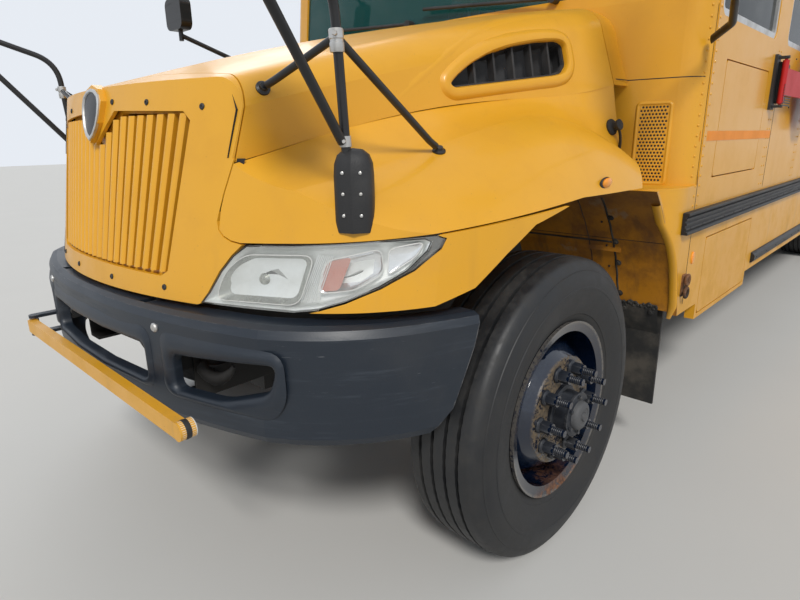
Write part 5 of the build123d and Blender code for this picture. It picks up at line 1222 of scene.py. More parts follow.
LOW_SEAM = [(0.583, 1.152), (0.577, 1.175), (0.584, 1.210), (0.591, 1.241), (0.604, 1.285), (0.617, 1.330)]
strip = Stock().grid([[front_skin(y - 0.020, z, 0.015), front_skin(y, z, 0.014),
                       front_skin(y + 0.018, z, 0.018)] for y, z in LOW_SEAM])
rows = []
for z in (1.330, 1.350, 1.370, 1.390, 1.410, 1.430, 1.445):
    seam = 0.818 - (z - 1.300) * 0.22
    place, facing = skin("hood_top", at(seam - 0.012, 2.0, z), (0, -1, 0))
    rows.append([place - facing * 0.014 + Vector((shift, 0, 0)) for shift in (0.032, 0.010, -0.006)])
for step in range(25):
    y = 0.590 - step * 0.0246
    place, facing = skin("hood_top", at(0.757, y, 3.0), (0, 0, -1))
    rows.append([place - facing * 0.014 + Vector((shift, 0, 0)) for shift in (0.040, 0.016, -0.004)])
strip.grid(rows)
make("nose_seam_strips", strip.mirrored(), seal_rubber, "hood")
print("seam strips of", len(strip.faces), "faces")


# %% [markdown]
# The cowl's corner has a pressed frame with a punched sheet, eight holes wide
# and staggered. The dark space behind is a black sheet set close behind the
# holes: painted shade. Every hole is a real opening in the sheet, built as a
# ring of small faces round an eight-sided hole.

# %% Perforated vents of the cowl
VENT_Y, VENT_Z = (1.002, 1.112), (1.190, 1.482)
HOLES_WIDE, HOLES_HIGH = 8, 22


def on_cowl(y, z, lift):
    place, facing = skin("cowl", at(1.0, y, z), (-1, 0, 0))
    return place + facing * lift


def punched(stock, low, high, lift, radius):
    """Staggered rows of holes between two (y, z) corners."""
    pitch_y = (high[0] - low[0]) / (HOLES_WIDE + 0.5)
    pitch_z = (high[1] - low[1]) / HOLES_HIGH
    for row in range(HOLES_HIGH):
        shift = (row % 2) * pitch_y / 2
        z0, z1 = low[1] + row * pitch_z, low[1] + (row + 1) * pitch_z
        for hole in range(HOLES_WIDE):
            y0 = low[0] + shift + hole * pitch_y
            rim, ring = [], []
            for step in range(8):
                angle = pi / 4 * step
                c, s = cos(angle), sin(angle)
                reach = 1 / max(abs(c), abs(s))
                rim.append(on_cowl(y0 + pitch_y / 2 * (1 + c * reach),
                                   (z0 + z1) / 2 + pitch_z / 2 * s * reach, lift))
                ring.append(on_cowl(y0 + pitch_y / 2 + radius * c, (z0 + z1) / 2 + radius * s,
                                    lift - 0.0008))
            stock.put(rim + ring, [[i, (i + 1) % 8, 8 + (i + 1) % 8, 8 + i] for i in range(8)], False)
        spare = ((low[0], low[0] + shift), (high[0] - pitch_y / 2 + shift, high[0]))
        for y0, y1 in spare:
            if y1 - y0 > 0.001:
                stock.put([on_cowl(y0, z0, lift), on_cowl(y1, z0, lift), on_cowl(y1, z1, lift),
                           on_cowl(y0, z1, lift)], [[0, 1, 2, 3]], False)


def cowl_frame(section):
    """Rings of the vent's pressed frame, one for each (grow, lift)."""
    corners = rounded([(VENT_Y[0], VENT_Z[0]), (VENT_Y[1], VENT_Z[0]), (VENT_Y[1], VENT_Z[1]),
                       (VENT_Y[0], VENT_Z[1])], 0.007, 3)
    return [[on_cowl(y, z, lift) for y, z in pushed(corners, grow)] for grow, lift in section]


sheet = Stock()
punched(sheet, (VENT_Y[0] + 0.003, VENT_Z[0] + 0.003), (VENT_Y[1] - 0.003, VENT_Z[1] - 0.003), 0.0035,
        0.0043)
make("cowl_vent_sheets", sheet.mirrored(), bus_yellow, "bus")
frame_ring = Stock().grid(cowl_frame([(-0.004, 0.0034), (-0.001, 0.0036), (0.002, 0.0062), (0.006, 0.0066),
                                      (0.009, 0.0050), (0.012, 0.0)]), closed=True)
make("cowl_vent_frames", frame_ring.mirrored(), bus_yellow, "bus")
# The black sheet close behind the holes is painted shade for the dark space behind the vent.
backing = Stock().plate([on_cowl(y, z, 0.0004) for y,
                         z in ((VENT_Y[0], VENT_Z[0]), (VENT_Y[1], VENT_Z[0]), (VENT_Y[1], VENT_Z[1]),
                               (VENT_Y[0], VENT_Z[1]))], (0.0004, 0, 0))
make("cowl_vent_shade_sheets", backing.mirrored(), trim_black, "bus")
print("vent sheets with", HOLES_WIDE * HOLES_HIGH, "holes a side")


# %% [markdown]
# The body is riveted from overlapping panels. Rows of round rivet heads run
# down each post and along the rails. A thin dark line shows where one sheet
# laps over the next. Rivets are set by rays, so they follow the corner.

# %% Rivet rows and lap seams
def side_spot(ahead, z, nodes=("side_left", "cowl")):
    best = None
    for node in nodes:
        place, facing = skin(node, at(ahead, 2.0, z), (0, -1, 0))
        if place and (best is None or place.y > best[0].y):
            best = (place, facing)
    return best


rivets = Stock()
count = 0
for ahead in (-0.800, -0.848):
    for step in range(23):
        spot = side_spot(ahead, 0.99 + step * 0.0375)
        if spot:
            rivets.dome(spot[0], spot[1], 0.0058, 0.0036, 7)
            count += 1
posts = [-1.849] + [-2.609 - bay * 0.6885 for bay in range(11)]
for ahead in posts:
    for offset in (-0.022, 0.022):
        for step in range(15):
            z = 1.12 + step * 0.045
            spot = side_spot(ahead + offset, z)
            if spot and spot[0].y > 1.215:
                rivets.dome(spot[0], spot[1], 0.0050, 0.0028, 6)
                count += 1
make("side_rivets", rivets.mirrored(), bus_yellow, "bus")


def side_line(stock, track, half=0.0018, lift=0.0012, nodes=("side_left", "cowl")):
    """Thin dark lap line along (ahead, z) points on the side."""
    spots = [side_spot(a, z, nodes) for a, z in track]
    rows = []
    for i, spot in enumerate(spots):
        if spot is None:
            continue
        before, after = track[max(i - 1, 0)], track[min(i + 1, len(track) - 1)]
        run = Vector((after[0] - before[0], 0, after[1] - before[1])).normalized()
        across = Vector((-run.z, 0, run.x))
        rows.append([spot[0] + across * -half + spot[1] * 0.0002, spot[0] + spot[1] * lift,
                     spot[0] + across * half + spot[1] * 0.0002])
    return stock.grid(rows) if len(rows) > 1 else stock


lines = Stock()
for ahead in (-0.825,):
    side_line(lines, [(ahead, 0.70 + 0.04 * i) for i in range(29)])
for ahead in (-1.912,) + tuple(posts[2::2]):
    side_line(lines, [(ahead, 1.10 + 0.1 * i) for i in range(7)])
for z in (1.575, 0.968):
    rows = []
    for step in range(26):
        y = 0.30 + step * 0.0364 if z < 1 else 0.905 + step * 0.012
        y = min(y, 1.2168)
        place, facing = skin("cowl", at(1.0, y, z), (-1, 0, 0))
        if place is None:
            continue
        rows.append([place + Vector((0, 0, -0.0018)) + facing * 0.0002, place + facing * 0.0012,
                     place + Vector((0, 0, 0.0018)) + facing * 0.0002])
    if len(rows) > 1:
        lines.grid(rows)
make("lap_seams", lines.mirrored(), seal_rubber, "bus")
print(count, "rivets a side and the lap seams")


# %% [markdown]
# Bands of yellow reflective tape mark the sides. A small latch of black rubber
# holds the hood to the cowl's collar, an amber lamp sits on the fender, and a
# rusty ring bracket and an oval reflector are on the skirt behind the arch.

# %% Small fittings of the front
def strap(stock, node, ahead0, ahead1, z0, z1, lift=0.0009, steps=8):
    rows = []
    for step in range(steps + 1):
        ahead = ahead0 + (ahead1 - ahead0) * step / steps
        row = []
        for z in (z0, z1):
            spot = side_spot(ahead, z, node)
            row.append(spot[0] + spot[1] * lift)
        rows.append(row)
    return stock.grid(rows)


tapes = Stock()
strap(tapes, ("side_left", "cowl", "electrical_door"), -0.812, -1.900, 1.345, 1.382, 0.0012, 18)
make("front_tapes", tapes.mirrored(), tape_orange, "bus")

place, facing = skin("fender_left", at(-0.140, 2.0, 1.229), (0, -1, 0))
print("marker on the fender at", [round(v, 3) for v in place], [round(v, 2) for v in facing])
marker = Stock()
rows = []
for grow, lift in ((1.00, -0.003), (1.00, 0.006), (0.93, 0.011), (0.75, 0.0145), (0.45, 0.0165),
                   (0.01, 0.017)):
    row = []
    for step in range(24):
        angle = 2 * pi * step / 24
        row.append(place + Vector((0.028 * cos(angle) * grow, 0,
                                   0.015 * sin(angle) * grow)) - facing * 0 + facing * lift)
    rows.append(row)
make("fender_markers", marker.grid(rows, closed=True).mirrored(), amber_lens, "hood")
rims = Stock()
rows = []
for grow, lift in ((1.30, -0.002), (1.28, 0.003), (1.15, 0.0055), (1.02, 0.005), (1.00, 0.001)):
    rows.append([place + Vector((0.028 * cos(2 * pi * s / 24) * grow, 0,
                                 0.015 * sin(2 * pi * s / 24) * grow)) + facing * lift for s in range(24)])
make("fender_marker_rims", rims.grid(rows, closed=True).mirrored(), black_plastic, "hood")

latches = Stock()
spot, facing = skin("fender_left", at(-0.560, 2.0, 1.400), (0, -1, 0))
anchor = spot + facing * 0.002
latches.turned(anchor, facing, [(-0.004, 0.030), (0.004, 0.030), (0.010, 0.024), (0.012, 0.014), (0.026,
                                                                                                  0.013),
                                                                                                  (0.028,
                                                                                                   0.019),
                                                                                                   (0.036,
                                                                                                    0.020),
                                                                                                    (0.040,
                                                                                                     0.014),
                                                                                                     (0.040,
                                                                                                      0)], 22)
strap_path = [anchor + facing * 0.024, anchor + facing * 0.032 + Vector((-0.016, 0, -0.030)),
              anchor + facing * 0.030 + Vector((-0.030, 0, -0.075)),
              anchor + facing * 0.012 + Vector((-0.038, 0, -0.118))]
latches.tube(smooth_path(strap_path, 0.02, 4), 0.009, 12, 0.5)
make("hood_latches", latches.mirrored(), seal_rubber, "hood")

spot, facing = side_spot(-0.880, 0.885)
oval = Stock()
rows = []
for grow, lift in ((1.0, -0.001), (1.0, 0.003), (0.9, 0.0055), (0.5, 0.0068), (0.01, 0.0070)):
    rows.append([spot + Vector((0.016 * cos(2 * pi * s / 22) * grow, 0,
                                0.026 * sin(2 * pi * s / 22) * grow)) + facing * lift for s in range(22)])
make("skirt_reflectors", oval.grid(rows, closed=True).mirrored(), amber_lens, "bus")

rings = Stock()
spot, facing = side_spot(-0.800, 0.785)
rings.block(spot + Vector((-0.022, -0.004, -0.045)), spot + Vector((0.022, 0.008, 0.045)), 0.003)
for dz, dx in ((0.030, 0.016), (-0.030, 0.016), (0.030, -0.016), (-0.030, -0.016)):
    rings.bolt(spot + Vector((dx, 0.008, dz)), (0, 1, 0), 0.006, 0.007, False)
for dz in (0.026, -0.026):
    loop = [spot + Vector((0.020 * cos(2 * pi * s / 18) + 0.010, 0.020,
                           dz + 0.020 * sin(2 * pi * s / 18))) for s in range(19)]
    rings.tube(loop, 0.0062, 10)
make("skirt_rings", rings.mirrored(), rusty, "bus")
print("small fittings placed")


# %% [markdown]
# Some nodes hold many solids of one kind, such as the seat pads and the lamps.
# Each connected group of faces is found again here with its own corners, so a
# finer piece can be set exactly where each plain solid is.

# %% Separate solids of a node
def islands(node):
    """Corner points of each separate solid of a node."""
    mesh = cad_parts[node].data
    places, owner = {}, []
    for vertex in mesh.vertices:
        key = tuple(round(c, 5) for c in vertex.co)
        places.setdefault(key, len(places))
        owner.append(places[key])
    root = list(range(len(places)))

    def find(i):
        while root[i] != i:
            root[i] = root[root[i]]
            i = root[i]
        return i

    for polygon in mesh.polygons:
        first = find(owner[polygon.vertices[0]])
        for vertex in polygon.vertices[1:]:
            root[find(owner[vertex])] = first
    groups = {}
    for key, index in places.items():
        groups.setdefault(find(index), []).append(Vector(key))
    return list(groups.values())


def box_of(points):
    return [Vector([pick(p[i] for p in points) for i in range(3)]) for pick in (min, max)]


print(len(islands("lamps")), "lamps,", len(islands("rub_rails")), "rails")


# %% [markdown]
# The rub rails are rolled steel channels, bolted over the panels to take
# knocks. The wide one has a raised lip along both edges and three ribs
# between, and the narrow ones are plain hats. Each is drawn as one section
# and run along the side, with bolt heads at an even pitch.

# %% Rub rails
def rail_section(depth, height):
    """Section of a rail as (out, up) points from its foot to its foot."""
    if height > 0.07:
        ribs = []
        for k in range(3):
            z = 0.016 + k * 0.0185
            ribs += [(depth - 0.012, z), (depth - 0.006, z + 0.004), (depth - 0.006, z + 0.010),
                     (depth - 0.012, z + 0.014)]
        return [(0, 0), (depth - 0.002, 0), (depth, 0.002), (depth, 0.009),
                (depth - 0.003, 0.0115)] + ribs + [
            (depth - 0.003, height - 0.0115), (depth, height - 0.009), (depth, height - 0.002),
            (depth - 0.002, height), (0, height)]
    return [(0, 0), (depth * 0.4, 0.002), (depth - 0.002, height * 0.22), (depth, height * 0.30),
            (depth, height * 0.70),
            (depth - 0.002, height * 0.78), (depth * 0.4, height - 0.002), (0, height)]


rails, rail_bolts = Stock(), Stock()
for points in islands("rub_rails"):
    low, high = box_of(points)
    side = 1 if low.y > 0 else -1
    wall, depth, height = (low.y if side > 0 else high.y), high.y - low.y, high.z - low.z
    section = rail_section(depth, height)
    rows = [[Vector((x, wall + side * out, low.z + up)) for out, up in section] for x in (low.x,
                                                                                          low.x + 0.004,
                                                                                          high.x - 0.004,
                                                                                          high.x)]
    for row in (rows[0], rows[-1]):
        middle = sum(row, Vector()) / len(row)
        row[:] = [p + (middle - p) * 0.04 for p in row]
    rails.grid(rows, smooth=False)
    for row, turn in ((rows[0], 1), (rows[-1], -1)):
        rails.put(row, [list(range(len(row)))[::turn]], False)
    pitch = 0.150 if height > 0.07 else 0.230
    steps = int((high.x - low.x) / pitch)
    for step in range(steps):
        x = high.x - 0.05 - step * pitch
        z = low.z + (0.0245 if height > 0.07 else height / 2)
        out = depth - (0.0065 if height > 0.07 else 0.0)
        rail_bolts.dome(Vector((x, wall + side * out, z)), (0, side, 0),
                        0.0055 if height > 0.07 else 0.0048, 0.0030, 6)
make("ribbed_rails", rails, trim_black, "bus", ["rub_rails"], 20.0)
make("rail_bolts", rail_bolts, tube_black, "bus")
print("rails of", len(rails.faces), "faces, bolts of", len(rail_bolts.faces))


# %% [markdown]
# Each warning lamp is a round moulded lens with rings pressed into its face,
# in a black rubber bezel, under a short shade where it faces forward or back
# high up. Amber is inboard and red outboard. At the rear, below the windows,
# are the brake and turn lamps.

# %% Round lamps
def round_lens(stock, centre, axis, radius, dome):
    profile = [(0.0, radius * 0.93)]
    for step in range(13):
        share = 1 - step / 12
        ring = 0.0008 if step % 2 else 0.0
        profile.append((0.004 + dome * (1 - share ** 2) + ring, radius * 0.92 * share + 0.0004))
    stock.turned(centre, axis, profile, 36)


def bezel(stock, centre, axis, radius):
    stock.turned(centre, axis, [(-0.003, radius * 1.16), (0.006, radius * 1.15), (0.012, radius * 1.08),
                                (0.014, radius * 1.0), (0.010, radius * 0.93), (0.002, radius * 0.90)], 36)


def shade(stock, centre, axis, radius, reach):
    """Upper half of a tube standing out over a lamp."""
    axis = Vector(axis)
    across, up = Vector((0, 1, 0)), Vector((0, 0, 1))
    rows = []
    for along, grow in ((-0.002, 1.17), (0.012, 1.17), (1.0, 1.19), (1.0, 1.165), (0.012, 1.145)):
        row = []
        for step in range(19):
            angle = radians(-8 + 196 * step / 18)
            cut = max(0.18, sin(angle)) if along == 1.0 else 1.0
            spot = along * reach * cut if along == 1.0 else along
            row.append(centre + axis * spot + (across * cos(angle) + up * sin(angle)) * radius * grow)
        rows.append(row)
    stock.grid(rows)


ambers, reds, bezels, shades = Stock(), Stock(), Stock(), Stock()
for points in islands("lamps"):
    low, high = box_of(points)
    facing = 1 if low.x > 0 else -1
    middle = (low + high) / 2
    radius = (high.z - low.z) / 2
    centre = Vector(((high.x if facing > 0 else low.x) - facing * 0.016, middle.y, middle.z))
    lens = reds if abs(middle.y) > 0.7 else ambers
    round_lens(lens, centre, (facing, 0, 0), radius * 0.97, 0.010)
    bezel(bezels, centre, (facing, 0, 0), radius * 0.93)
    if middle.z > 2.0:
        shade(shades, centre, (facing, 0, 0), radius * 0.93, 0.045)
make("amber_lamps", ambers, amber_lens, "bus", ["lamps"])
make("red_lamps", reds, red_lens, "bus")
make("lamp_bezels", bezels, seal_rubber, "bus")
make("lamp_shades", shades, trim_black, "bus")
print("lamps:", len(ambers.faces) + len(reds.faces), "lens faces")


# %% [markdown]
# The bench seats have a steel frame and foam pads in coated cloth. A cushion
# is highest in its middle, rolls over at its edges, and is pulled in a little
# along the stitched lines between the places. Each is a closed form rounded
# to its solid's size, with the stitch lines pressed in.

# %% Crowned seat pads
def pillow(stock, points, power=5.0, steps=(8, 44, 10), stitches=3, sag=0.006):
    """Rounded, crowned pad that fills the space of a plain solid."""
    low, high = box_of(points)
    middle_z = (low.z + high.z) / 2
    foot = box_of([p for p in points if p.z < middle_z])
    head = box_of([p for p in points if p.z >= middle_z])
    half = Vector(((foot[1].x - foot[0].x) / 2, (high.y - low.y) / 2, (high.z - low.z) / 2))
    centre = (low + high) / 2
    lean = ((head[0].x + head[1].x) - (foot[0].x + foot[1].x)) / 2
    for axis in range(3):
        one, two = [i for i in range(3) if i != axis]
        for side in (-1, 1):
            rows = []
            for i in range(steps[one] + 1):
                row = []
                for j in range(steps[two] + 1):
                    spot = [0.0, 0.0, 0.0]
                    spot[axis] = side
                    spot[one] = sin((i / steps[one] - 0.5) * pi)
                    spot[two] = sin((j / steps[two] - 0.5) * pi)
                    size = sum(abs(c) ** power for c in spot) ** (1 / power)
                    spot = [c / size for c in spot]
                    press = 0.0
                    for k in range(stitches):
                        place = (k + 1) / (stitches + 1) * 2 - 1
                        press += exp(-((spot[1] - place) * half.y / 0.011) ** 2)
                    thin = 0 if half.x < half.z else 2
                    shape = Vector((spot[0] * half.x, spot[1] * half.y, spot[2] * half.z))
                    shape[thin] -= (1 if shape[thin] > 0 else -1) * sag * press * min(1.0, abs(spot[thin]))
                    share = (shape.z + half.z) / (2 * half.z)
                    row.append(Vector((centre.x - lean / 2 + lean * share + shape.x, centre.y + shape.y,
                                       centre.z + shape.z)))
                rows.append(row)
            stock.grid(rows)


for side in ("left", "right"):
    pads = Stock()
    for points in islands("seat_pads_" + side):
        pillow(pads, points)
    piece = make("padded_seats_" + side, pads, seat_blue, "bus", ["seat_pads_" + side], 60.0)
    print(piece.name, len(pads.faces), "faces")
driver = Stock()
for points in islands("driver_seat"):
    pillow(driver, points, 4.5, (10, 24, 10), 2)
chair = make("padded_driver_seat", driver, seat_grey, "bus", ["driver_seat"], 60.0)


# %% [markdown]
# Behind the front wheel the cowl carries a splash panel, bent to the wheel's
# own curve. Its outer edge is rolled over a wire, which shows as a pale lip
# from the fender down to the mud flap. Two pressings meet on it in a dark
# upright seam held by clips, and the flap's ragged top is clamped to its foot.
# All of it follows one circle, so points are set by their height on it.

# %% Splash panels behind the front wheels
ARCH_AHEAD, ARCH_HIGH, ARCH_FAR = 0.120, 0.507, 0.905
PANEL_FOOT, FLAP_FACE = 0.640, -0.799


def on_arch(y, z, lift=0.0):
    """A point of the splash panel's face, lifted towards the wheel."""
    far = ARCH_FAR - lift
    return at(ARCH_AHEAD - sqrt(max(far ** 2 - (z - ARCH_HIGH) ** 2, 0.0)), y, z)


lip = Stock()
lip_track, lip_sizes = [], []
for step in range(28):
    z = PANEL_FOOT + 0.002 + 0.0180 * step
    place, facing = skin("cowl", on_arch(2.0, z, -0.010), (0, -1, 0))
    share = min(max((z - PANEL_FOOT) / 0.06, 0.0), 1.0)
    outer = min(place.y, 1.219) if place and z > 0.665 else 1.219
    lip_track.append(on_arch((1.183 + 0.004) * (1 - share) + (outer - 0.0165) * share, z, 0.001))
    lip_sizes.append(0.0075 + 0.0080 * share)
rows = []
for i, spot in enumerate(lip_track):
    inward = (at(ARCH_AHEAD, spot.y, ARCH_HIGH) - spot).normalized()
    rows.append([spot + Vector((0, sin(t), 0)) * lip_sizes[i] * 1.08 + inward * cos(t) * lip_sizes[i] * 0.5
                 for t in [pi * (k / 8 - 0.5) for k in range(9)]])
make("arch_lips", lip.grid(rows).mirrored(), bus_yellow, "bus")

seams = Stock()
for y, wide in ((0.975, 0.0045), (0.870, 0.0020)):
    rows = []
    for step in range(26):
        z = PANEL_FOOT + 0.004 + 0.0200 * step
        wave = 0.0012 * sin(step * 1.7)
        rows.append([on_arch(y + wave - wide, z, 0.0004), on_arch(y + wave, z, 0.0022),
                     on_arch(y + wave + wide, z, 0.0004)])
    seams.grid(rows)
rows = []
for step in range(24):
    y = 0.540 + 0.0187 * step
    rows.append([on_arch(y, 0.947, 0.0004), on_arch(y, 0.951, 0.0030), on_arch(y, 0.956, 0.0004)])
seams.grid(rows)
for z in (0.72, 0.86, 0.955, 1.06):
    clip = on_arch(0.985, z, 0.0)
    inward = (at(ARCH_AHEAD, clip.y, ARCH_HIGH) - clip).normalized()
    seams.bolt(clip + inward * 0.001, inward, 0.0085, 0.006)
    seams.bolt(on_arch(0.945, z - 0.02, 0.001), inward, 0.0050, 0.004, False)
make("arch_seams", seams.mirrored(), seal_rubber, "bus")

ragged = Stock()
rows = []
for step in range(40):
    y = 0.874 + 0.0070 * step
    tear = PANEL_FOOT + 0.052 + 0.006 * sin(step * 0.6) + 0.003 * sin(step * 1.7 + 1.0)
    rows.append([at(FLAP_FACE, y, 0.560), at(FLAP_FACE + 0.006, y, 0.572),
                 on_arch(y, PANEL_FOOT - 0.004, 0.0085),
                 on_arch(y, PANEL_FOOT + 0.020, 0.0085), on_arch(y, tear - 0.004, 0.0080),
                 on_arch(y, tear, 0.0050), on_arch(y, tear - 0.002, 0.0008)])
ragged.grid(rows)
for step in range(26):
    y = 0.880 + 0.0104 * step
    crumb = on_arch(y, PANEL_FOOT + 0.042 + 0.008 * sin(step * 2.3), 0.007)
    inward = (at(ARCH_AHEAD, y, ARCH_HIGH) - crumb).normalized()
    ragged.dome(crumb, inward, 0.0050 + 0.0030 * sin(step * 1.9) ** 2, 0.006, 7)
for y in (0.90, 1.01, 1.12):
    foot = on_arch(y, PANEL_FOOT + 0.018, 0.0085)
    ragged.bolt(foot, (at(ARCH_AHEAD, y, ARCH_HIGH) - foot).normalized(), 0.0090, 0.007)
make("flap_tops", ragged.mirrored(), flap_rubber, "bus")
print("splash panels dressed, lip of", len(lip_track), "points")


# %% [markdown]
# The stop arm is a plain red octagon with a white border, both pressed from
# sheet. The box behind it has a moulded cover whose lower half is a grille of
# fine level louvres. The border is a thin ring on both faces of the sheet.

# %% Stop arm border and box louvres
SIGN = max(islands("stop_arm"), key=lambda points: (box_of(points)[1] - box_of(points)[0]).z)
sign_low, sign_high = box_of(SIGN)
sign_half = (sign_high.z - sign_low.z) / 2
sign_x, sign_z = sign_low.x + sign_half, (sign_high.z + sign_low.z) / 2


def octagon(scale, y):
    reach = sign_half / cos(pi / 8) * scale
    return [Vector((sign_x + reach * cos(pi / 8 + pi * k / 4), y,
                    sign_z + reach * sin(pi / 8 + pi * k / 4))) for k in range(8)]


borders = Stock()
for side in (1, -1):
    place, facing = skin("stop_arm", (sign_x, 1.6 if side > 0 else 1.1, sign_z), (0, -side, 0))
    if place is None:
        continue
    borders.grid([octagon(0.985, place.y + side * 0.0002), octagon(0.982, place.y + side * 0.0012),
                  octagon(0.915, place.y + side * 0.0012), octagon(0.912, place.y + side * 0.0002)],
                  closed=True)
make("stop_arm_border", borders, sheet_white, "stop_arm")

louvres = Stock()
box_low, box_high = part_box("stop_arm_box")
for step in range(9):
    z = box_low[2] + 0.016 + step * 0.0115
    louvres.block((box_low[0] + 0.016, box_high[1] - 0.002, z),
                  (box_high[0] - 0.016, box_high[1] - 0.0002, z + 0.0055), 0.0006)
for x in (box_low[0] + 0.012, box_high[0] - 0.012):
    for z in (box_low[2] + 0.012, box_high[2] - 0.012):
        louvres.bolt((x, box_high[1] - 0.0055, z), (0, 1, 0), 0.0042, 0.004, False)
make("stop_box_louvres", louvres, trim_black, "bus")
print("stop arm sheet from", [round(v, 3) for v in sign_low], "to", [round(v, 3) for v in sign_high])


# %% [markdown]
# The bumper's openings are punched and then flanged: the sheet rises in a
# soft round ridge and rolls inward, which stiffens the edge. Each surround is
# a band between two outlines, the punched hole's and the smaller mouth that
# shows, lifted along the bumper's bowed face. A hook with a forged horn and a
# dark channel between the frame rails show through the mouths.

# %% Flanged mouths of the bumper
BOW_AHEAD, BOW_Y, BOW_R = -1.0473, 0.0521, 2.0779


def on_bumper(y, z, lift):
    """A point on the bumper's bowed face, lifted forward."""
    side = 1 if y >= 0 else -1
    turn = asin((abs(y) - BOW_Y) / BOW_R)
    return at(BOW_AHEAD + cos(turn) * (BOW_R + lift), side * (BOW_Y + sin(turn) * (BOW_R + lift)), z)


HOLE_LEFT = [(0.441, 0.883), (0.846, 0.883), (0.849, 0.755), (0.808, 0.696), (0.441, 0.698)]
MOUTH_LEFT = [(0.485, 0.820), (0.828, 0.846), (0.800, 0.768), (0.660, 0.722), (0.485, 0.720)]
HOLE_MIDDLE = [(-0.399, 0.883), (0.399, 0.883), (0.399, 0.699), (-0.399, 0.699)]
MOUTH_MIDDLE = [(-0.372, 0.828), (0.372, 0.828), (0.372, 0.724), (-0.372, 0.724)]
ROLL = [(0.0, 0.0003), (0.12, 0.0030), (0.30, 0.0068), (0.50, 0.0086), (0.70, 0.0076), (0.86, 0.0038),
        (0.96, -0.0020),
        (1.0, -0.0090), (1.0, -0.0300)]


def divided(corners, parts):
    """Corners with points added along each run, for an outline that bends with the face."""
    return [tuple(a + (b - a) * k / parts for a, b in zip(corners[i], corners[(i + 1) % len(corners)]))
            for i in range(len(corners)) for k in range(parts)]


def bowed_mouth(stock, hole, opening):
    wide, narrow = divided(rounded(hole, 0.046, 5), 3), divided(rounded(opening, 0.030, 5), 3)
    rows = [[on_bumper(y0 + (y1 - y0) * share, z0 + (z1 - z0) * share, lift) for (y0, z0),
             (y1, z1) in zip(wide, narrow)]
            for share, lift in ROLL]
    return stock.grid(rows, closed=True)


side_mouths = bowed_mouth(Stock(), HOLE_LEFT, MOUTH_LEFT).mirrored()
make("bumper_mouths", bowed_mouth(side_mouths, HOLE_MIDDLE, MOUTH_MIDDLE), bumper_black, "bus")

horn = Stock()
HORN = [(0.470, 0.752), (0.500, 0.738), (0.535, 0.736), (0.570, 0.745), (0.602, 0.762), (0.630, 0.784),
        (0.648, 0.803)]
rows = []
for i, (y, z) in enumerate(HORN):
    size = 0.0215 * (1 - (i / 6.6) ** 1.8) + 0.002
    before, after = HORN[max(i - 1, 0)], HORN[min(i + 1, 6)]
    run = Vector((0, after[0] - before[0], after[1] - before[1])).normalized()
    across = Vector((0, -run.z, run.y))
    ring = []
    for k in range(14):
        t = 2 * pi * k / 14
        ring.append(at(0.893, y, z) + Vector((sin(t), 0, 0)) * size * 0.8 + across * cos(t) * size)
    rows.append(ring)
horn.grid([[sum(rows[0], Vector()) / 14] * 14] + rows + [[sum(rows[-1], Vector()) / 14] * 14], closed=True)
make("tow_horns", horn.mirrored(), chassis_black, "bus")

channel = Stock()
channel.block((AXLE + 0.600, -0.425, 0.665), (AXLE + 0.608, 0.425, 0.850), 0.002)
for z in (0.665, 0.842):
    channel.block((AXLE + 0.602, -0.425, z), (AXLE + 0.660, 0.425, z + 0.008), 0.002)
for k in range(9):
    y = -0.36 + 0.09 * k
    channel.bolt((AXLE + 0.608, y, 0.700 + 0.115 * (k % 2)), (1, 0, 0), 0.011, 0.010)
for y in (-0.30, -0.10, 0.10, 0.30):
    channel.turned((AXLE + 0.606, y, 0.757), (1, 0, 0),
                   [(0, 0.040), (0.006, 0.038), (0.010, 0.030), (0.006, 0.026), (0.001, 0.0)], 24)
make("front_cross_member", channel, rusty, "bus")
print("bumper mouths of", len(ROLL), "rings")


# %% [markdown]
# Each door is one node with its panes in it, so one finish has to show both:
# enamel on the sheet and tinted glass on the panes. The panes' boxes come from
# the frame, and a mask that is 1 inside them darkens the colour, lowers the
# roughness and lets light through. A rubber seal runs round every pane.

# %% Door panes and their seals
PANE_THIN, PANE_SKIN, PANE_CORNER = 0.010, 0.0006, 0.045


def glazed_door(name, node, colour, gloss):
    """Door finish whose panes are see-through, and the panes' boxes."""
    panes = [box_of(points) for points in islands(node)]
    panes = [pane for pane in panes if min(pane[1] - pane[0]) < PANE_THIN]
    finish = Finish(name, IOR=1.5)
    x, y, z = finish.axes()
    glass = None
    for low, high in panes:
        inside = 1.0
        for wire, least, most in zip((x, y, z), low, high):
            inside = (wire > least - PANE_SKIN) * (wire < most + PANE_SKIN) * inside
        glass = inside if glass is None else glass + inside
    glass = glass.held()
    cloud = finish.noise(3.0, 5.0, 0.62)
    streak = finish.noise(8.0, 4.0, 0.6, stretch=(1.0, 1.0, 0.10))
    worn = tuple(0.75 * part + 0.02 for part in colour)
    paint = finish.mix(cloud.step(0.45, 0.78) * 0.5, colour, worn)
    paint = finish.mix(streak.step(0.58, 0.80) * 0.25, paint, (0.15, 0.12, 0.09))
    finish.set(Base_Color=finish.mix(glass, paint, (0.010, 0.020, 0.022)),
               Roughness=((gloss + cloud * 0.2) * (1.0 - glass) + glass * 0.03).held(),
               Alpha=(1.0 - glass * 0.55).held())
    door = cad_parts[node]
    door.data.materials.clear()
    door.data.materials.append(finish.material)
    return panes


def pane_seals(stock, panes, size=0.0065):
    """Rubber strips round each pane on both of its faces."""
    for low, high in panes:
        thin = 0 if high.x - low.x < PANE_THIN else 1
        wide = 1 - thin
        corners = [(low[wide], low.z), (high[wide], low.z), (high[wide], high.z), (low[wide], high.z)]
        loop = rounded(corners, PANE_CORNER, 4)
        for face in (low[thin] - size * 0.4, high[thin] + size * 0.4):
            path = []
            for across, z in loop + loop[:1]:
                spot = Vector((0, 0, z))
                spot[thin], spot[wide] = face, across
                path.append(spot)
            stock.tube(path, size, 8)
    return stock


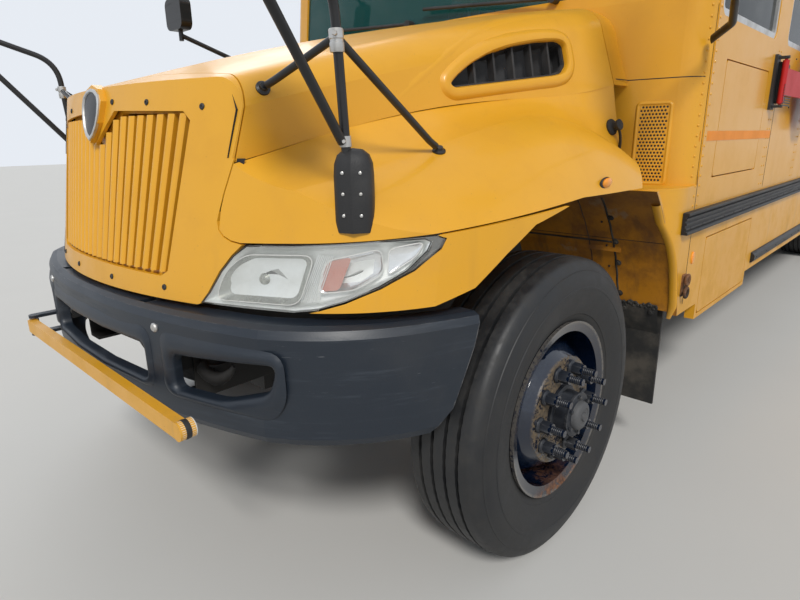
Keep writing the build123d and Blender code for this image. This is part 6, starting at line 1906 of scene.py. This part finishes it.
DOOR_BLACK, DOOR_YELLOW = (0.012, 0.013, 0.015), (0.70, 0.335, 0.010)
for node, colour in (("rear_door", DOOR_YELLOW), ("entry_door_front", DOOR_BLACK),
                     ("entry_door_rear", DOOR_BLACK)):
    panes = glazed_door(node + "_finish", node, colour, 0.33)
    make(node + "_seals", pane_seals(Stock(), panes), seal_rubber, node)
    print(node, "has", len(panes), "panes")


# %% [markdown]
# The stage is a plain pale floor. Camera, glossy and transmitted rays see a
# pale world, and the light on the bus comes from one soft sun ahead on the
# left, a weaker one from behind on the right, and the world itself.

# %% Floor, world and lights
def stage_finish(name, colour):
    finish = Finish(name, Roughness=0.9)
    cloud = finish.noise(1.5, 3.0, 0.5)
    finish.set(Base_Color=finish.mix(cloud, colour, tuple(c * 0.96 for c in colour)))
    return finish.material


floor_mesh = bpy.data.meshes.new("studio_floor")
floor_mesh.from_pydata([(-40, -40, -0.001), (40, -40, -0.001), (40, 40, -0.001), (-40, 40, -0.001)], [],
                       [(0, 1, 2, 3)])
studio_floor = bpy.data.objects.new("studio_floor", floor_mesh)
bpy.context.scene.collection.objects.link(studio_floor)
floor_mesh.materials.append(stage_finish("studio_pale", (0.60, 0.60, 0.59)))

world = bpy.data.worlds.new("studio")
bpy.context.scene.world = world
world.use_nodes = True
sky = world.node_tree.nodes
sky.clear()
rays = sky.new("ShaderNodeLightPath")
seen = sky.new("ShaderNodeBackground")
seen.inputs["Color"].default_value = (0.80, 0.84, 0.90, 1.0)
seen.inputs["Strength"].default_value = 1.0
lit = sky.new("ShaderNodeBackground")
lit.inputs["Color"].default_value = (0.92, 0.96, 1.0, 1.0)
lit.inputs["Strength"].default_value = 0.42
either = sky.new("ShaderNodeMath")
either.operation = "MAXIMUM"
any_ray = sky.new("ShaderNodeMath")
any_ray.operation = "MAXIMUM"
blend_worlds = sky.new("ShaderNodeMixShader")
world_out = sky.new("ShaderNodeOutputWorld")
join = world.node_tree.links.new
join(rays.outputs["Is Camera Ray"], either.inputs[0])
join(rays.outputs["Is Glossy Ray"], either.inputs[1])
join(either.outputs[0], any_ray.inputs[0])
join(rays.outputs["Is Transmission Ray"], any_ray.inputs[1])
join(any_ray.outputs[0], blend_worlds.inputs[0])
join(lit.outputs[0], blend_worlds.inputs[1])
join(seen.outputs[0], blend_worlds.inputs[2])
join(blend_worlds.outputs[0], world_out.inputs["Surface"])


def sun(name, direction, strength, spread, colour):
    """A soft sun shining along a direction."""
    light = bpy.data.lights.new(name, "SUN")
    light.energy = strength
    light.angle = radians(spread)
    light.color = colour
    lamp = bpy.data.objects.new(name, light)
    lamp.rotation_euler = Vector(direction).to_track_quat("-Z", "Y").to_euler()
    bpy.context.scene.collection.objects.link(lamp)


sun("key_sun", (-0.70, -0.72, -0.95), 2.3, 12.0, (1.0, 0.97, 0.92))
sun("back_sun", (0.6, 0.8, -0.7), 0.7, 40.0, (0.95, 0.97, 1.0))
print("stage ready")

# %% Closing measures
bpy.context.view_layer.update()
